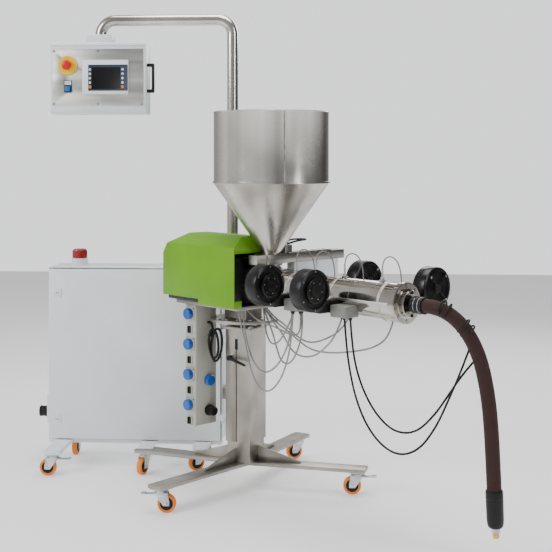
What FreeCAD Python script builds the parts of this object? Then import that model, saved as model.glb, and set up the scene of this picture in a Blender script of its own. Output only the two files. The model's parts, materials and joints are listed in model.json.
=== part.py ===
import FreeCAD, Part
import math
import os
import re

V = FreeCAD.Vector
doc = FreeCAD.newDocument("plastic_extruder")
sheet = doc.addObject("Spreadsheet::Sheet", "sizes")

# Driving dimensions, in millimetres and degrees.
SIZES = {
    # places of the three groups: stand column, head and cabinet
    "column_x": 87.14, "column_y": 123.37,
    "column_yaw": -24, "head_yaw": -43, "column_behind": 239, "column_aside": 72,
    "cabinet_right": -137, "cabinet_front": 282,
    # casters
    "wheel_radius": 37.5, "wheel_width": 24, "caster_height": 97, "caster_trail": 24,
    "caster_plate": 66, "plate_thick": 4, "fork_gap": 6, "fork_wall": 3, "axle_radius": 4,
    "pedal_length": 62, "pedal_width": 26,
    # stand
    "leg_length": 490, "leg_end": 36, "leg_width": 78, "leg_thick": 15,
    "gusset_length": 190, "gusset_height": 70, "gusset_thick": 8,
    "column_width": 120, "column_depth": 140, "column_wall": 5, "column_fit": 0.4,
    "sleeve_bottom": 200, "sleeve_top": 680, "inner_top": 640,
    "slot_width": 14, "slot_height": 46, "slit_width": 4, "top_plate": 10,
    "lever_height": 560, "lever_length": 82, "lever_droop": 18,
    # head
    "fan_bottom": 712, "fan_thick": 12, "fan_radius": 150,
    "base_bottom": 785, "base_thick": 15, "base_rear": 462, "base_front": 60,
    "base_near": 132, "base_far": 78,
    "cover_rear": 525, "cover_front": 53, "cover_near": 156, "cover_far": 84,
    "cover_bottom": 818, "cover_step": 796, "cover_fold": 1043, "cover_roof": 1086,
    "cover_wall": 3, "cover_chamfer": 62, "cover_hip": 35, "step_from": 255,
    "gearbox_front": 100, "gearbox_top": 1000,
    "feed_width": 130, "feed_front": 70, "feed_bottom": 815, "feed_top": 952,
    "barrel_height": 880, "barrel_radius": 71, "barrel_front": 700, "ring_radius": 77,
    "ring_length": 26, "hub_radius": 50, "hub_length": 22,
    "coupling_radius": 31, "coupling_length": 62,
    # hopper and its slide
    "neck_radius": 38, "channel_bottom": 978, "channel_top": 1015,
    "channel_near": 110, "channel_far": 397, "channel_width": 50, "channel_wall": 4,
    "hopper_radius": 236, "hopper_wall": 2, "cone_top": 1306, "hopper_top": 1598,
    "rim_height": 8, "rim_out": 5,
    # blowers
    "blower_radius": 80, "blower_depth": 62, "blower_side": 200, "blower_rise": 38,
    "motor_radius": 46, "motor_length": 16,
    # socket box
    "socket_front": 359, "socket_near": 108, "socket_thick": 69, "socket_width": 115,
    "socket_bottom": 262, "socket_pitch": 130, "lid_radius": 24, "lid_length": 26,
    # cabinet
    "cabinet_width": 805, "cabinet_height": 790, "cabinet_depth": 215, "cabinet_wall": 3,
    "cabinet_bottom": 115, "door_thick": 18, "door_gap": 5, "door_margin": 6,
    "rail_height": 18, "rail_width": 40, "foot_left": 225, "foot_right": 90,
    "foot_left_in": 75, "foot_right_in": 88, "hinge_pin": 4, "hinge_out": 8,
    "beacon_radius": 41, "beacon_height": 34, "lens_radius": 35, "lens_height": 44,
    # support arm and panel
    "tube_radius": 25.4, "tube_wall": 2, "arm_top": 2048, "arm_bend": 68,
    "arm_back": 52, "arm_out": 43, "arm_length": 616,
    "panel_width": 446, "panel_height": 330, "panel_depth": 120, "panel_top": 1942,
    "collar_width": 122, "collar_height": 38,
    "face_width": 423, "face_height": 262, "face_thick": 3,
    "screen_width": 215, "screen_height": 158, "screen_thick": 8,
    "stop_radius": 22, "stop_ring_radius": 45, "button_travel": 5,
    # cords
    "hose_radius": 26, "cable_radius": 4, "lead_radius": 3.5, "probe_lead_radius": 2.5,
}
for row, (alias, number) in enumerate(SIZES.items(), start=1):
    sheet.set("A%d" % row, alias)
    sheet.set("B%d" % row, str(number))
    sheet.setAlias("B%d" % row, alias)
doc.recompute()


def size(alias):
    """A driving dimension, read from the sheet."""
    return float(sheet.get(alias))


def formula(text):
    """Prefix each alias in an expression with the sheet's name."""
    def prefix(found):
        word = found.group(0)
        return "sizes." + word if word in SIZES else word
    return re.sub(r"[a-z_]+", prefix, str(text))


def bind(item, **properties):
    for name, text in properties.items():
        item.setExpression(name, formula(text))


def put(item, at):
    for axis, text in zip("xyz", at):
        item.setExpression(".Placement.Base." + axis, formula(text))


def box(at, dims, turn=0):
    """A block with one corner at `at`, turned about the vertical through it."""
    item = doc.addObject("Part::Box", "block")
    item.Placement = FreeCAD.Placement(V(0, 0, 0), FreeCAD.Rotation(V(0, 0, 1), turn))
    bind(item, Length=dims[0], Width=dims[1], Height=dims[2])
    put(item, at)
    return item


AXES = {"x": FreeCAD.Rotation(V(0, 1, 0), 90), "y": FreeCAD.Rotation(V(1, 0, 0), -90),
        "z": FreeCAD.Rotation()}


def rod(at, radius, length, axis="z"):
    """A cylinder that starts at `at` and runs along +axis."""
    item = doc.addObject("Part::Cylinder", "rod")
    item.Placement = FreeCAD.Placement(V(0, 0, 0), AXES[axis])
    bind(item, Radius=radius, Height=length)
    put(item, at)
    return item


def cone(at, bottom, top, height):
    item = doc.addObject("Part::Cone", "cone")
    bind(item, Radius1=bottom, Radius2=top, Height=height)
    put(item, at)
    return item


def prism(outline, direction):
    """A flat closed outline swept along a vector."""
    item = doc.addObject("Part::Feature", "prism")
    wire = Part.makePolygon([V(*p) for p in outline] + [V(*outline[0])])
    item.Shape = Part.Face(wire).extrude(V(*direction))
    return item


def fuse(*items):
    item = doc.addObject("Part::MultiFuse", "joined")
    item.Shapes = list(items)
    return item


def cut(base, *tools):
    item = doc.addObject("Part::Cut", "cut")
    item.Base = base
    item.Tool = tools[0] if len(tools) == 1 else fuse(*tools)
    return item


nodes = []


def node(label, items, place):
    """One named node: its separate solids, in the frame that carries them."""
    item = doc.addObject("Part::Compound", label)
    item.Links = list(items)
    item.Label = label
    item.Placement = place
    nodes.append(item)
    return item


# ---------------------------------------------------------------- frames
stand = FreeCAD.Placement(V(size("column_x"), size("column_y"), 0), FreeCAD.Rotation())
yaw = FreeCAD.Rotation(V(0, 0, 1), size("head_yaw"))
head_origin = stand.Base - yaw.multVec(V(-size("column_behind"), size("column_aside"), 0))
head = FreeCAD.Placement(head_origin, yaw)
# On the head +X runs along the barrel, and the hopper stands on the origin.
cabinet = FreeCAD.Placement(
    stand.Base + V(size("cabinet_right"), size("cabinet_front"), 0), FreeCAD.Rotation())
# On the cabinet the origin is the right end of the shell's front edge, at the floor.
column_turn = FreeCAD.Placement(stand.Base, FreeCAD.Rotation(V(0, 0, 1), size("column_yaw")))


# ---------------------------------------------------------------- casters
LEGS = {"front": 232, "right": 349, "rear": 65, "left": 162}


def leg_end(name):
    angle = math.radians(LEGS[name])
    reach = size("leg_length")
    return stand.Base + V(reach * math.cos(angle), reach * math.sin(angle), 0)


def foot_end(side):
    if side == "left":
        return cabinet.Base + V(size("foot_left_in") - size("cabinet_width"),
                                -size("foot_left") + size("caster_plate") / 2, 0)
    return cabinet.Base + V(-size("foot_right_in"),
                            -size("foot_right") + size("caster_plate") / 2, 0)


def rear_foot(side):
    across = size("foot_right_in")
    if side == "left":
        across = size("cabinet_width") - across
    return cabinet.Base + V(-across, size("cabinet_depth") - size("caster_plate") / 2, 0)


def fork_shape(pedal):
    """Swivel head, two cheeks and an axle; the trail points along -X."""
    head_part = rod((0, 0, "caster_height - plate_thick - 13"), 21, 12.7)
    bridge = box(("-caster_trail - 6", "-wheel_width / 2 - fork_gap", "wheel_radius * 2 + 4"),
                 ("caster_trail + 26", "wheel_width + 2 * fork_gap", 4))
    parts = [head_part, bridge]
    for side in ("-wheel_width / 2 - fork_gap", "wheel_width / 2 + fork_gap - fork_wall"):
        parts.append(box(("-caster_trail - 13", side, "wheel_radius - 12"),
                         (38, "fork_wall", "wheel_radius + 20")))
    parts.append(rod(("-caster_trail", "-wheel_width / 2 - fork_gap - 3", "wheel_radius"),
                     "axle_radius", "wheel_width + 2 * fork_gap + 6", "y"))
    if pedal:
        parts.append(box(("18", "-pedal_width / 2", "wheel_radius * 2 - 2"),
                         ("pedal_length", "pedal_width", 3)))
        parts.append(box(("14", "-pedal_width / 2", "wheel_radius * 2 - 2"),
                         (6, "pedal_width", 8)))
    return fuse(*parts)


def wheel_shape():
    disc = rod(("-caster_trail", "-wheel_width / 2", "wheel_radius"),
               "wheel_radius", "wheel_width", "y")
    bore = rod(("-caster_trail", "-wheel_width / 2 - 1", "wheel_radius"),
               "axle_radius + 0.3", "wheel_width + 2", "y")
    hub = cut(rod(("-caster_trail", "-wheel_width / 2 - 2.5", "wheel_radius"), 9,
                  "wheel_width + 5", "y"),
              rod(("-caster_trail", "-wheel_width / 2 - 4", "wheel_radius"),
                  "axle_radius + 0.3", "wheel_width + 8", "y"))
    return fuse(cut(disc, bore), hub)


def turned(item, place, angle):
    holder = doc.addObject("Part::Compound", "placed")
    holder.Links = [item]
    holder.Placement = FreeCAD.Placement(place, FreeCAD.Rotation(V(0, 0, 1), angle))
    return holder


LOCKED = [(leg_end("front"), 180), (leg_end("right"), 0), (foot_end("left"), 0),
          (rear_foot("left"), 90), (rear_foot("right"), 90)]
FREE = [(leg_end("rear"), 20), (leg_end("left"), 70), (foot_end("right"), 35)]


def casters():
    world = FreeCAD.Placement()
    plates = []
    for place, angle in LOCKED + FREE:
        plate = box(("-caster_plate / 2", "-caster_plate / 2", "caster_height - plate_thick"),
                    ("caster_plate", "caster_plate", "plate_thick"))
        near_leg = min(LEGS, key=lambda name: (leg_end(name) - place).Length)
        on_leg = (leg_end(near_leg) - place).Length < 1
        plates.append(turned(plate, place, LEGS[near_leg] if on_leg else 0))
    node("caster_plates", plates, world)
    node("locked_caster_forks",
         [turned(fork_shape(True), place, angle) for place, angle in LOCKED], world)
    node("locked_caster_wheels",
         [turned(wheel_shape(), place, angle) for place, angle in LOCKED], world)
    for number, (place, angle) in enumerate(FREE, start=1):
        node("caster_fork_%d" % number, [turned(fork_shape(False), place, angle)], world)
        node("caster_wheel_%d" % number, [turned(wheel_shape(), place, angle)], world)


# ---------------------------------------------------------------- stand
def stand_frame():
    bars = []
    for angle in LEGS.values():
        bar = box((0, "-leg_width / 2", "caster_height"),
                  ("leg_length + leg_end", "leg_width", "leg_thick"))
        bars.append(turned(bar, V(0, 0, 0), angle))
    node("stand_legs", [fuse(*bars)], stand)
    top = size("caster_height") + size("leg_thick")
    gussets = []
    half = size("column_width") / 2 - size("column_wall")
    for angle in LEGS.values():
        toe = half + size("gusset_length")
        rise = size("gusset_height")
        thick = size("gusset_thick")
        outline = [(half - 20, -thick / 2, top), (toe, -thick / 2, top),
                   (toe, -thick / 2, top + 8), (half - 20, -thick / 2, top + rise)]
        gussets.append(turned(prism(outline, (0, thick, 0)), V(0, 0, 0), angle))
    inner = box(("-column_width / 2 + column_wall + column_fit",
                 "-column_depth / 2 + column_wall + column_fit", "caster_height + leg_thick"),
                ("column_width - 2 * (column_wall + column_fit)",
                 "column_depth - 2 * (column_wall + column_fit)",
                 "inner_top - caster_height - leg_thick"))
    node("inner_column", [inner], column_turn)
    node("leg_gussets", [cut(item, column_core()) for item in gussets], stand)


def column_core():
    """The inner column as the gussets meet it, in the stand's frame."""
    core = box(("-column_width / 2 + column_wall + column_fit",
                "-column_depth / 2 + column_wall + column_fit", 0),
               ("column_width - 2 * (column_wall + column_fit)",
                "column_depth - 2 * (column_wall + column_fit)", "inner_top"))
    return turned(core, V(0, 0, 0), size("column_yaw"))


def sleeve():
    outer = box(("-column_width / 2", "-column_depth / 2", "sleeve_bottom"),
                ("column_width", "column_depth", "sleeve_top - sleeve_bottom"))
    bore = box(("-column_width / 2 + column_wall", "-column_depth / 2 + column_wall",
                "sleeve_bottom - 1"),
               ("column_width - 2 * column_wall", "column_depth - 2 * column_wall",
                "sleeve_top - sleeve_bottom + 1"))
    slot = box(("-slot_width", "-column_depth / 2 - 1", "sleeve_top - 40 - slot_height"),
               ("slot_width", "column_wall + 2", "slot_height"))
    slit = box(("-slot_width / 2 - slit_width / 2", "-column_depth / 2 - 1", "sleeve_bottom - 1"),
               ("slit_width", "column_wall + 2", "sleeve_top - sleeve_bottom - 70"))
    plate = box(("-column_width / 2 - 14", "-column_depth / 2 - 14", "sleeve_top"),
                ("column_width + 28", "column_depth + 28", "top_plate"))
    boss = rod(("-slot_width / 2 - 22", "-column_depth / 2 - 12", "lever_height"), 9, 12, "y")
    node("outer_column", [fuse(cut(outer, bore, slot, slit), plate, boss)], column_turn)
    hub = rod(("-slot_width / 2 - 22", "-column_depth / 2 - 30", "lever_height"), 11, 17.7, "y")
    x0, z0 = -size("slot_width") / 2 - 22, size("lever_height")
    face, reach = -size("column_depth") / 2 - 30, size("lever_length")
    fall = reach * math.tan(math.radians(size("lever_droop")))
    grip = prism([(x0 - 8, face, z0 + 5), (x0 + 8, face, z0 + 9),
                  (x0 + reach, face, z0 - fall + 5), (x0 + reach, face, z0 - fall - 5),
                  (x0, face, z0 - 9)], (0, 12, 0))
    node("clamp_lever", [fuse(hub, grip)], column_turn)


# ---------------------------------------------------------------- head
def head_base():
    behind, aside = "-column_behind", "column_aside"
    spacers = [rod((behind + " + %d" % dx, aside + " + %d" % dy, "sleeve_top + top_plate"), 11,
                   "fan_bottom - sleeve_top - top_plate")
               for dx, dy in ((-45, -40), (45, -40), (-45, 40), (45, 40))]
    fan = rod((behind, aside, "fan_bottom"), "fan_radius", "fan_thick")
    trim = box((behind + " - fan_radius - 1", aside + " + 60", "fan_bottom - 1"),
               ("2 * fan_radius + 2", "fan_radius", "fan_thick + 2"))
    pedestal = box((behind + " - 70", aside + " - 60", "fan_bottom + fan_thick"),
                   (140, 90, "base_bottom - fan_bottom - fan_thick"))
    relief = box((behind + " - fan_radius - 1", "-socket_near", "fan_bottom - 1"),
                 ("column_behind + fan_radius + 7 - socket_front", "socket_width + 6",
                  "fan_thick + 2"))
    node("swivel_plate", [fuse(cut(fan, trim, relief), pedestal, *spacers)], head)
    plate = box(("-base_rear", "-base_near", "base_bottom"),
                ("base_rear - base_front", "base_near + base_far", "base_thick"))
    node("head_base_plate", [plate], head)


def gear_cover():
    rear, front = -size("cover_rear"), -size("cover_front")
    near, far = -size("cover_near"), size("cover_far")
    low, step = size("cover_bottom"), size("cover_step")
    fold, roof = size("cover_fold"), size("cover_roof")
    wall, slope, hip = size("cover_wall"), size("cover_chamfer"), size("cover_hip")
    lean = roof - fold

    def shell(inset, open_front):
        """A folded box: upright sides, a rear chamfer and a roof hipped at both ends."""
        x0, x1 = rear + inset, front + (1 if open_front else 0)
        y0, y1 = near + inset, far - inset
        up, top = fold - inset * 0.6, roof - inset
        ridge_front = front - hip - inset
        lower = [(x0, y0, low - 60), (x1, y0, low - 60), (x1, y1, low - 60), (x0, y1, low - 60)]
        chamfer = up - slope * 0.7
        middle = [(x0, y0, chamfer), (x1, y0, chamfer), (x1, y1, chamfer), (x0, y1, chamfer)]
        shoulder = [(x0 + slope * 0.45, y0, up), (x1, y0, up), (x1, y1, up),
                    (x0 + slope * 0.45, y1, up)]
        ridge = [(x0 + slope * 1.5, y0 + lean * 1.7, top), (ridge_front, y0 + lean * 1.7, top),
                 (ridge_front, y1 - lean * 1.7, top), (x0 + slope * 1.5, y1 - lean * 1.7, top)]
        levels = [lower, middle, shoulder, ridge]
        faces = [Part.Face(Part.makePolygon([V(*p) for p in ring] + [V(*ring[0])]))
                 for ring in (lower, ridge)]
        for under, over in zip(levels, levels[1:]):
            for k in range(4):
                n = (k + 1) % 4
                quad = [V(*under[k]), V(*under[n]), V(*over[n]), V(*over[k]), V(*under[k])]
                faces.append(Part.Face(Part.makePolygon(quad)))
        return Part.Solid(Part.Shell(Part.makeCompound(faces).Faces))

    skin = shell(0, False).cut(shell(wall, True))
    split = front - size("step_from") + 25
    skin = skin.cut(Part.makeBox(split - rear + 10, far - near + 20, 100,
                                 V(rear - 10, near - 10, low - 100)))
    skin = skin.cut(Part.makeBox(front - split + 10, far - near + 20, 100,
                                 V(split, near - 10, step - 100)))
    item = doc.addObject("Part::Feature", "cover_skin")
    item.Shape = skin
    lips = [box(("-cover_front - 3", "-cover_near", "cover_fold - 24"),
                (3, "cover_near + cover_far", 24)),
            box(("-cover_front - 3", "-cover_near", "cover_step"),
                (3, 42, 30))]
    ledge = box(("-cover_front - step_from + 30", "-cover_near", "cover_step"),
                ("step_from - 33", "cover_near - base_near", 3))
    ledge_far = box(("-cover_front - step_from + 30", "base_far", "cover_step"),
                    ("step_from - 33", "cover_far - base_far", 3))
    notch = cone((0, 0, "channel_top"), "neck_radius + 5", "hopper_radius + 5",
                 "cone_top - channel_top")
    node("gear_cover", [cut(fuse(item, ledge, ledge_far, *lips), notch)], head)


def drive():
    block = box(("-cover_rear + cover_wall + 12", "-cover_near + cover_wall + 12",
                 "base_bottom + base_thick"),
                ("cover_rear - gearbox_front - cover_wall - 12",
                 "cover_near + cover_far - 2 * (cover_wall + 12)",
                 "gearbox_top - base_bottom - base_thick"))
    node("gearbox", [block], head)
    body = box(("-gearbox_front", "-feed_width / 2", "feed_bottom"),
               ("gearbox_front + feed_front", "feed_width", "feed_top - feed_bottom"))
    neck = rod((0, 0, "feed_top"), "neck_radius", "channel_bottom - feed_top")
    node("feed_block", [fuse(body, neck)], head)


PROBES = (150, 262, 415, 606)


def barrel():
    node("barrel_shell", [rod(("feed_front", 0, "barrel_height"), "barrel_radius",
                              "barrel_front - feed_front", "x")], head)
    ring = rod(("barrel_front", 0, "barrel_height"), "ring_radius", "ring_length", "x")
    hub = rod(("barrel_front + ring_length", 0, "barrel_height"), "hub_radius",
              "hub_length", "x")
    node("barrel_head", [fuse(ring, hub)], head)
    spigot = rod(("barrel_front + ring_length + hub_length", 0, "barrel_height"),
                 "coupling_radius", "coupling_length", "x")
    node("hose_coupling", [spigot], head)
    cap_base = "barrel_height + barrel_radius - 3"
    probes = [fuse(rod((along, 0, cap_base), 8, 18),
                   rod((along, 0, cap_base + " + 17"), 4, 34))
              for along in PROBES]
    node("sensor_probes", [cut(item, rod((60, 0, "barrel_height"), "barrel_radius",
                                         "barrel_front", "x")) for item in probes], head)
    boxes = []
    for along, side in ((210, -1), (462, -1), (372, 1), (560, 1)):
        at_side = "-barrel_radius - 58" if side < 0 else "barrel_radius - 14"
        boxes.append(box((along, at_side, "barrel_height - 62"), (78, 72, 44)))
    node("terminal_boxes", [cut(item, rod((60, 0, "barrel_height"), "barrel_radius",
                                          "barrel_front", "x")) for item in boxes], head)


BLOWERS = [(150, -1), (395, -1), (300, 1), (645, 1)]


def blowers():
    housings, motors = [], []
    height = "barrel_height + blower_rise"
    for along, side in BLOWERS:
        centre = "%d * blower_side" % side
        drum = rod((along, centre, height), "blower_radius", "blower_depth", "x")
        if side < 0:
            chute = box(("%d + 8" % along, centre + " + 30", "barrel_height - 50"),
                        ("blower_depth - 16", "blower_side - 30", 46))
        else:
            chute = box(("%d + 8" % along, 0, "barrel_height - 50"),
                        ("blower_depth - 16", "blower_side - 30", 46))
        barrel_core = rod((60, 0, "barrel_height"), "barrel_radius", "barrel_front", "x")
        recess = rod(("%d + blower_depth - 8" % along, centre, height),
                     "blower_radius - 14", 9, "x")
        housings.append(cut(fuse(drum, chute), barrel_core, recess))
        face = "%d + blower_depth - 8" % along
        motors.append(rod((face, centre, height), "motor_radius", "motor_length", "x"))
    node("blower_housings", housings, head)
    node("blower_motors", motors, head)


def hopper():
    low = "cone_top"
    drum = cut(rod((0, 0, low), "hopper_radius", "hopper_top - cone_top"),
               rod((0, 0, "cone_top - 1"), "hopper_radius - hopper_wall",
                   "hopper_top - cone_top + 2"))
    rim = cut(rod((0, 0, low), "hopper_radius + rim_out", "rim_height"),
              rod((0, 0, "cone_top - 1"), "hopper_radius - hopper_wall", "rim_height + 2"))
    node("hopper_drum", [fuse(drum, rim)], head)
    outer = cone((0, 0, "channel_top"), "neck_radius", "hopper_radius",
                 "cone_top - channel_top")
    inner = cone((0, 0, "channel_top - 0.01"), "neck_radius - hopper_wall",
                 "hopper_radius - hopper_wall", "cone_top - channel_top + 0.02")
    node("hopper_cone", [cut(outer, inner)], head)
    bar = box(("-channel_width / 2 + 10", "-channel_near", "channel_bottom"),
              ("channel_width", "channel_near + channel_far", "channel_top - channel_bottom"))
    seat = box((-46, -56, "channel_bottom"), (92, 112, "channel_top - channel_bottom"))
    runner = box((-8, 70, "channel_top"), (40, 250, 5))
    knob = box((-14, 62, "channel_top"), (34, 38, 34))
    node("slide_channel", [fuse(bar, seat, runner, knob)], head)
    node("side_box", [box((-8, 96, "channel_bottom - 70"), (46, 262, 70))], head)


def sockets():
    tall = "base_bottom - socket_bottom"
    body = box(("-socket_front - socket_thick", "-socket_near", "socket_bottom"),
               ("socket_thick", "socket_width", tall))
    node("socket_box", [body], head)
    lids, frames = [], []
    middle = "-socket_front - socket_thick / 2"
    for k in range(4):
        level = "base_bottom - 44 - %d * socket_pitch" % k
        lids.append(rod((middle, "-socket_near - lid_length", level), "lid_radius",
                        "lid_length", "y"))
        frames.append(box((middle + " - 7", "-socket_near - 14", level + " - 88"),
                          (28, 14, 40)))
    side = "-socket_front"
    lids.append(rod((side, "-socket_near + 70", "socket_bottom + 190"), "lid_radius", 22, "x"))
    frames.append(rod((side, "-socket_near + 72", "socket_bottom + 60"), 24, 42, "x"))
    node("socket_lids", lids, head)
    node("socket_frames", frames, head)


# ---------------------------------------------------------------- cabinet
def cabinet_parts():
    wide, tall = "cabinet_width", "cabinet_height"
    shell = cut(box(("-cabinet_width", 0, "cabinet_bottom"), (wide, "cabinet_depth", tall)),
                box(("-cabinet_width + cabinet_wall", -1, "cabinet_bottom + cabinet_wall"),
                    ("cabinet_width - 2 * cabinet_wall", "cabinet_depth - cabinet_wall + 1",
                     "cabinet_height - 2 * cabinet_wall")))
    brackets = []
    front = "-door_gap - door_thick"
    pins, lugs = [], []
    for level in ("cabinet_bottom + 90", "cabinet_bottom + cabinet_height - 120"):
        plate = box(("-2", front + " - 7", level), ("hinge_out + 9",
                    "door_thick + door_gap + 22", 8))
        hole = rod(("hinge_out", front, level + " - 1"), "hinge_pin + 0.3", 10)
        relief = box(("-3", front + " - 8", level + " - 1"), (3.4, "door_thick + 13", 10))
        brackets.append(cut(plate, hole, relief))
        lugs.append(fuse(box(("-door_margin - 1", front, level + " + 8.4"),
                             ("hinge_out + door_margin + 1", 9, 26)),
                         rod(("hinge_out", front, level + " + 8.4"), 7, 26),
                         rod(("hinge_out", front, level), "hinge_pin", 12)))
    trimmed = [cut(item, box(("-cabinet_width", 0, "cabinet_bottom"),
                             (wide, "cabinet_depth", tall))) for item in brackets]
    node("cabinet_shell", [fuse(shell, *trimmed)], cabinet)
    leaf = box(("-cabinet_width + door_margin", front, "cabinet_bottom + door_margin"),
               ("cabinet_width - 2 * door_margin", "door_thick",
                "cabinet_height - 2 * door_margin"))
    node("cabinet_door", [fuse(leaf, *lugs)], cabinet)
    locks = [box(("-cabinet_width + 26", front + " - 3", level), (40, 3, 40))
             for level in ("cabinet_bottom + 75", "cabinet_bottom + cabinet_height - 135")]
    node("door_locks", locks, cabinet)
    base_frame()
    node("beacon_base", [cone(("-cabinet_width + 118", 110, "cabinet_bottom + cabinet_height"),
                              "beacon_radius", "beacon_radius - 4", "beacon_height")], cabinet)
    node("beacon_lens", [rod(("-cabinet_width + 118", 110,
                              "cabinet_bottom + cabinet_height + beacon_height"),
                             "lens_radius", "lens_height")], cabinet)
    node("connector_hood", [box(("-cabinet_width - 22", 40, "cabinet_bottom + 55"),
                                (22, 120, 140))], cabinet)
    node("mains_plug", [rod(("-cabinet_width - 66", 92, "cabinet_bottom + 105"), 26, 44, "x")],
         cabinet)


def base_frame():
    level = "cabinet_bottom - rail_height"
    rails = [box(("-cabinet_width", 0, level), ("cabinet_width", "rail_width", "rail_height")),
             box(("-cabinet_width", "cabinet_depth - rail_width", level),
                 ("cabinet_width", "rail_width", "rail_height"))]
    feet = (("-cabinet_width + foot_left_in", "foot_left"), ("-foot_right_in", "foot_right"))
    for middle, reach in feet:
        rails.append(box((middle + " - caster_plate / 2 - 4", "-" + reach, level),
                         ("caster_plate + 8", "cabinet_depth + " + reach, "rail_height")))
    meet = leg_end("left") - cabinet.Base
    rails.append(box((meet.x - 36, meet.y - 20, "caster_height + leg_thick"),
                     (72, 20 - meet.y, "cabinet_bottom - caster_height - leg_thick")))
    node("cabinet_base_frame", [fuse(*rails)], cabinet)


def arm():
    radius, bend = size("tube_radius"), size("arm_bend")
    x0, y0 = size("arm_out"), size("arm_back")
    x1 = x0 - size("arm_length")
    low, top = size("cabinet_bottom") + 60, size("arm_top")
    end = size("panel_top") + size("collar_height")
    near = bend * (1 - math.sqrt(0.5))
    far = bend - near
    path = [Part.LineSegment(V(x0, y0, low), V(x0, y0, top - bend)),
            Part.Arc(V(x0, y0, top - bend), V(x0 - near, y0, top - bend + far),
                     V(x0 - bend, y0, top)),
            Part.LineSegment(V(x0 - bend, y0, top), V(x1 + bend, y0, top)),
            Part.Arc(V(x1 + bend, y0, top), V(x1 + near, y0, top - near),
                     V(x1, y0, top - bend))]
    if top - bend - end > 0.5:
        path.append(Part.LineSegment(V(x1, y0, top - bend), V(x1, y0, end)))
    wire = Part.Wire([edge.toShape() for edge in path])
    tubes = []
    for r in (radius, radius - size("tube_wall")):
        ring = Part.Wire(Part.makeCircle(r, V(x0, y0, low), V(0, 0, 1)))
        tubes.append(wire.makePipeShell([ring], True, False))
    item = doc.addObject("Part::Feature", "bent_tube")
    item.Shape = tubes[0].cut(tubes[1])
    node("support_arm", [item], cabinet)
    bore = rod(("arm_out", "arm_back", 0), "tube_radius", "arm_top")
    clamps = [cut(box((0, "arm_back - 36", level), ("arm_out + tube_radius + 8", 72, 50)), bore)
              for level in ("cabinet_bottom + 190", "cabinet_bottom + cabinet_height - 90")]
    node("arm_brackets", clamps, cabinet)


def panel():
    middle = "arm_out - arm_length"
    left = middle + " - panel_width / 2"
    face = "arm_back - panel_depth / 2"
    node("arm_collar", [cut(box((middle + " - collar_width / 2", "arm_back - 42", "panel_top"),
                                ("collar_width", 84, "collar_height")),
                            rod((middle, "arm_back", "panel_top + 20"),
                                "tube_radius - tube_wall", 60))], cabinet)
    node("panel_housing", [box((left, face, "panel_top - panel_height"),
                               ("panel_width", "panel_depth", "panel_height"))], cabinet)
    plate_y = face + " - face_thick"
    plate = box((left + " + 11", plate_y, "panel_top - 31 - face_height"),
                ("face_width", "face_thick", "face_height"))
    stop_x, stop_z = left + " + 82", "panel_top - 106"
    blue_x, blue_z = left + " + 84", "panel_top - 214"
    wells = [rod((stop_x, plate_y + " - 1", stop_z), 11.3, 5, "y"),
             box((blue_x + " - 12.3", plate_y + " - 1", blue_z + " - 12.3"), (24.6, 5, 24.6))]
    node("panel_faceplate", [cut(plate, *wells)], cabinet)
    node("operator_screen", [box((left + " + 151", plate_y + " - screen_thick",
                                  "panel_top - 82 - screen_height"),
                                 ("screen_width", "screen_thick", "screen_height"))], cabinet)
    node("stop_ring", [cut(rod((stop_x, plate_y + " - 5", stop_z), "stop_ring_radius", 5, "y"),
                           rod((stop_x, plate_y + " - 6", stop_z), 11.3, 7, "y"))], cabinet)
    stem = rod((stop_x, plate_y + " - 5 - button_travel - 9", stop_z), 11,
               "button_travel + 11.5", "y")
    cap = rod((stop_x, plate_y + " - 5 - button_travel - 22", stop_z), "stop_radius", 16, "y")
    node("stop_button", [fuse(stem, cap)], cabinet)
    node("blue_button", [box((blue_x + " - 12", plate_y + " - button_travel - 6",
                              blue_z + " - 12"), (24, "button_travel + 6", 24))], cabinet)
    right = left + " + panel_width"
    grip_low, grip_tall = "panel_top - 232", 136
    handle = cut(box((right, face + " + 20", grip_low), (34, 22, grip_tall)),
                 box((right + " - 1", face + " + 19", grip_low + " + 16"),
                     (23, 24, grip_tall - 32)))
    node("panel_handle", [handle], cabinet)


# ---------------------------------------------------------------- cords
def cord_shape(points, radius, label):
    """Straight runs joined by tangent arcs, with a round section."""
    corners = [V(*p) for p in points]
    edges, start, radii = [], corners[0], []
    for before, here, after in zip(corners, corners[1:], corners[2:]):
        run_in, run_out = here - before, after - here
        turn = run_in.getAngle(run_out)
        reach = 0.45 * min(run_in.Length, run_out.Length)
        bend = reach / math.tan(turn / 2)
        radii.append(bend)
        tip_in = here - V(run_in).normalize() * reach
        tip_out = here + V(run_out).normalize() * reach
        toward = (tip_in + tip_out) * 0.5 - here
        centre_gap = bend / math.cos(turn / 2)
        middle = here + V(toward).normalize() * (centre_gap - bend)
        edges.append(Part.LineSegment(start, tip_in).toShape())
        edges.append(Part.Arc(tip_in, middle, tip_out).toShape())
        start = tip_out
    edges.append(Part.LineSegment(start, corners[-1]).toShape())
    wire = Part.Wire(edges)
    total = wire.Length
    first = corners[1] - corners[0]
    ring = Part.Wire(Part.makeCircle(radius, corners[0], first))
    shape = wire.makePipeShell([ring], True, False)
    expected = math.pi * radius ** 2 * total
    print("%s: length %.0f, least bend %.0f, volume ratio %.4f"
          % (label, total, min(radii), shape.Volume / expected))
    item = doc.addObject("Part::Feature", label)
    item.Shape = shape
    return item


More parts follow.
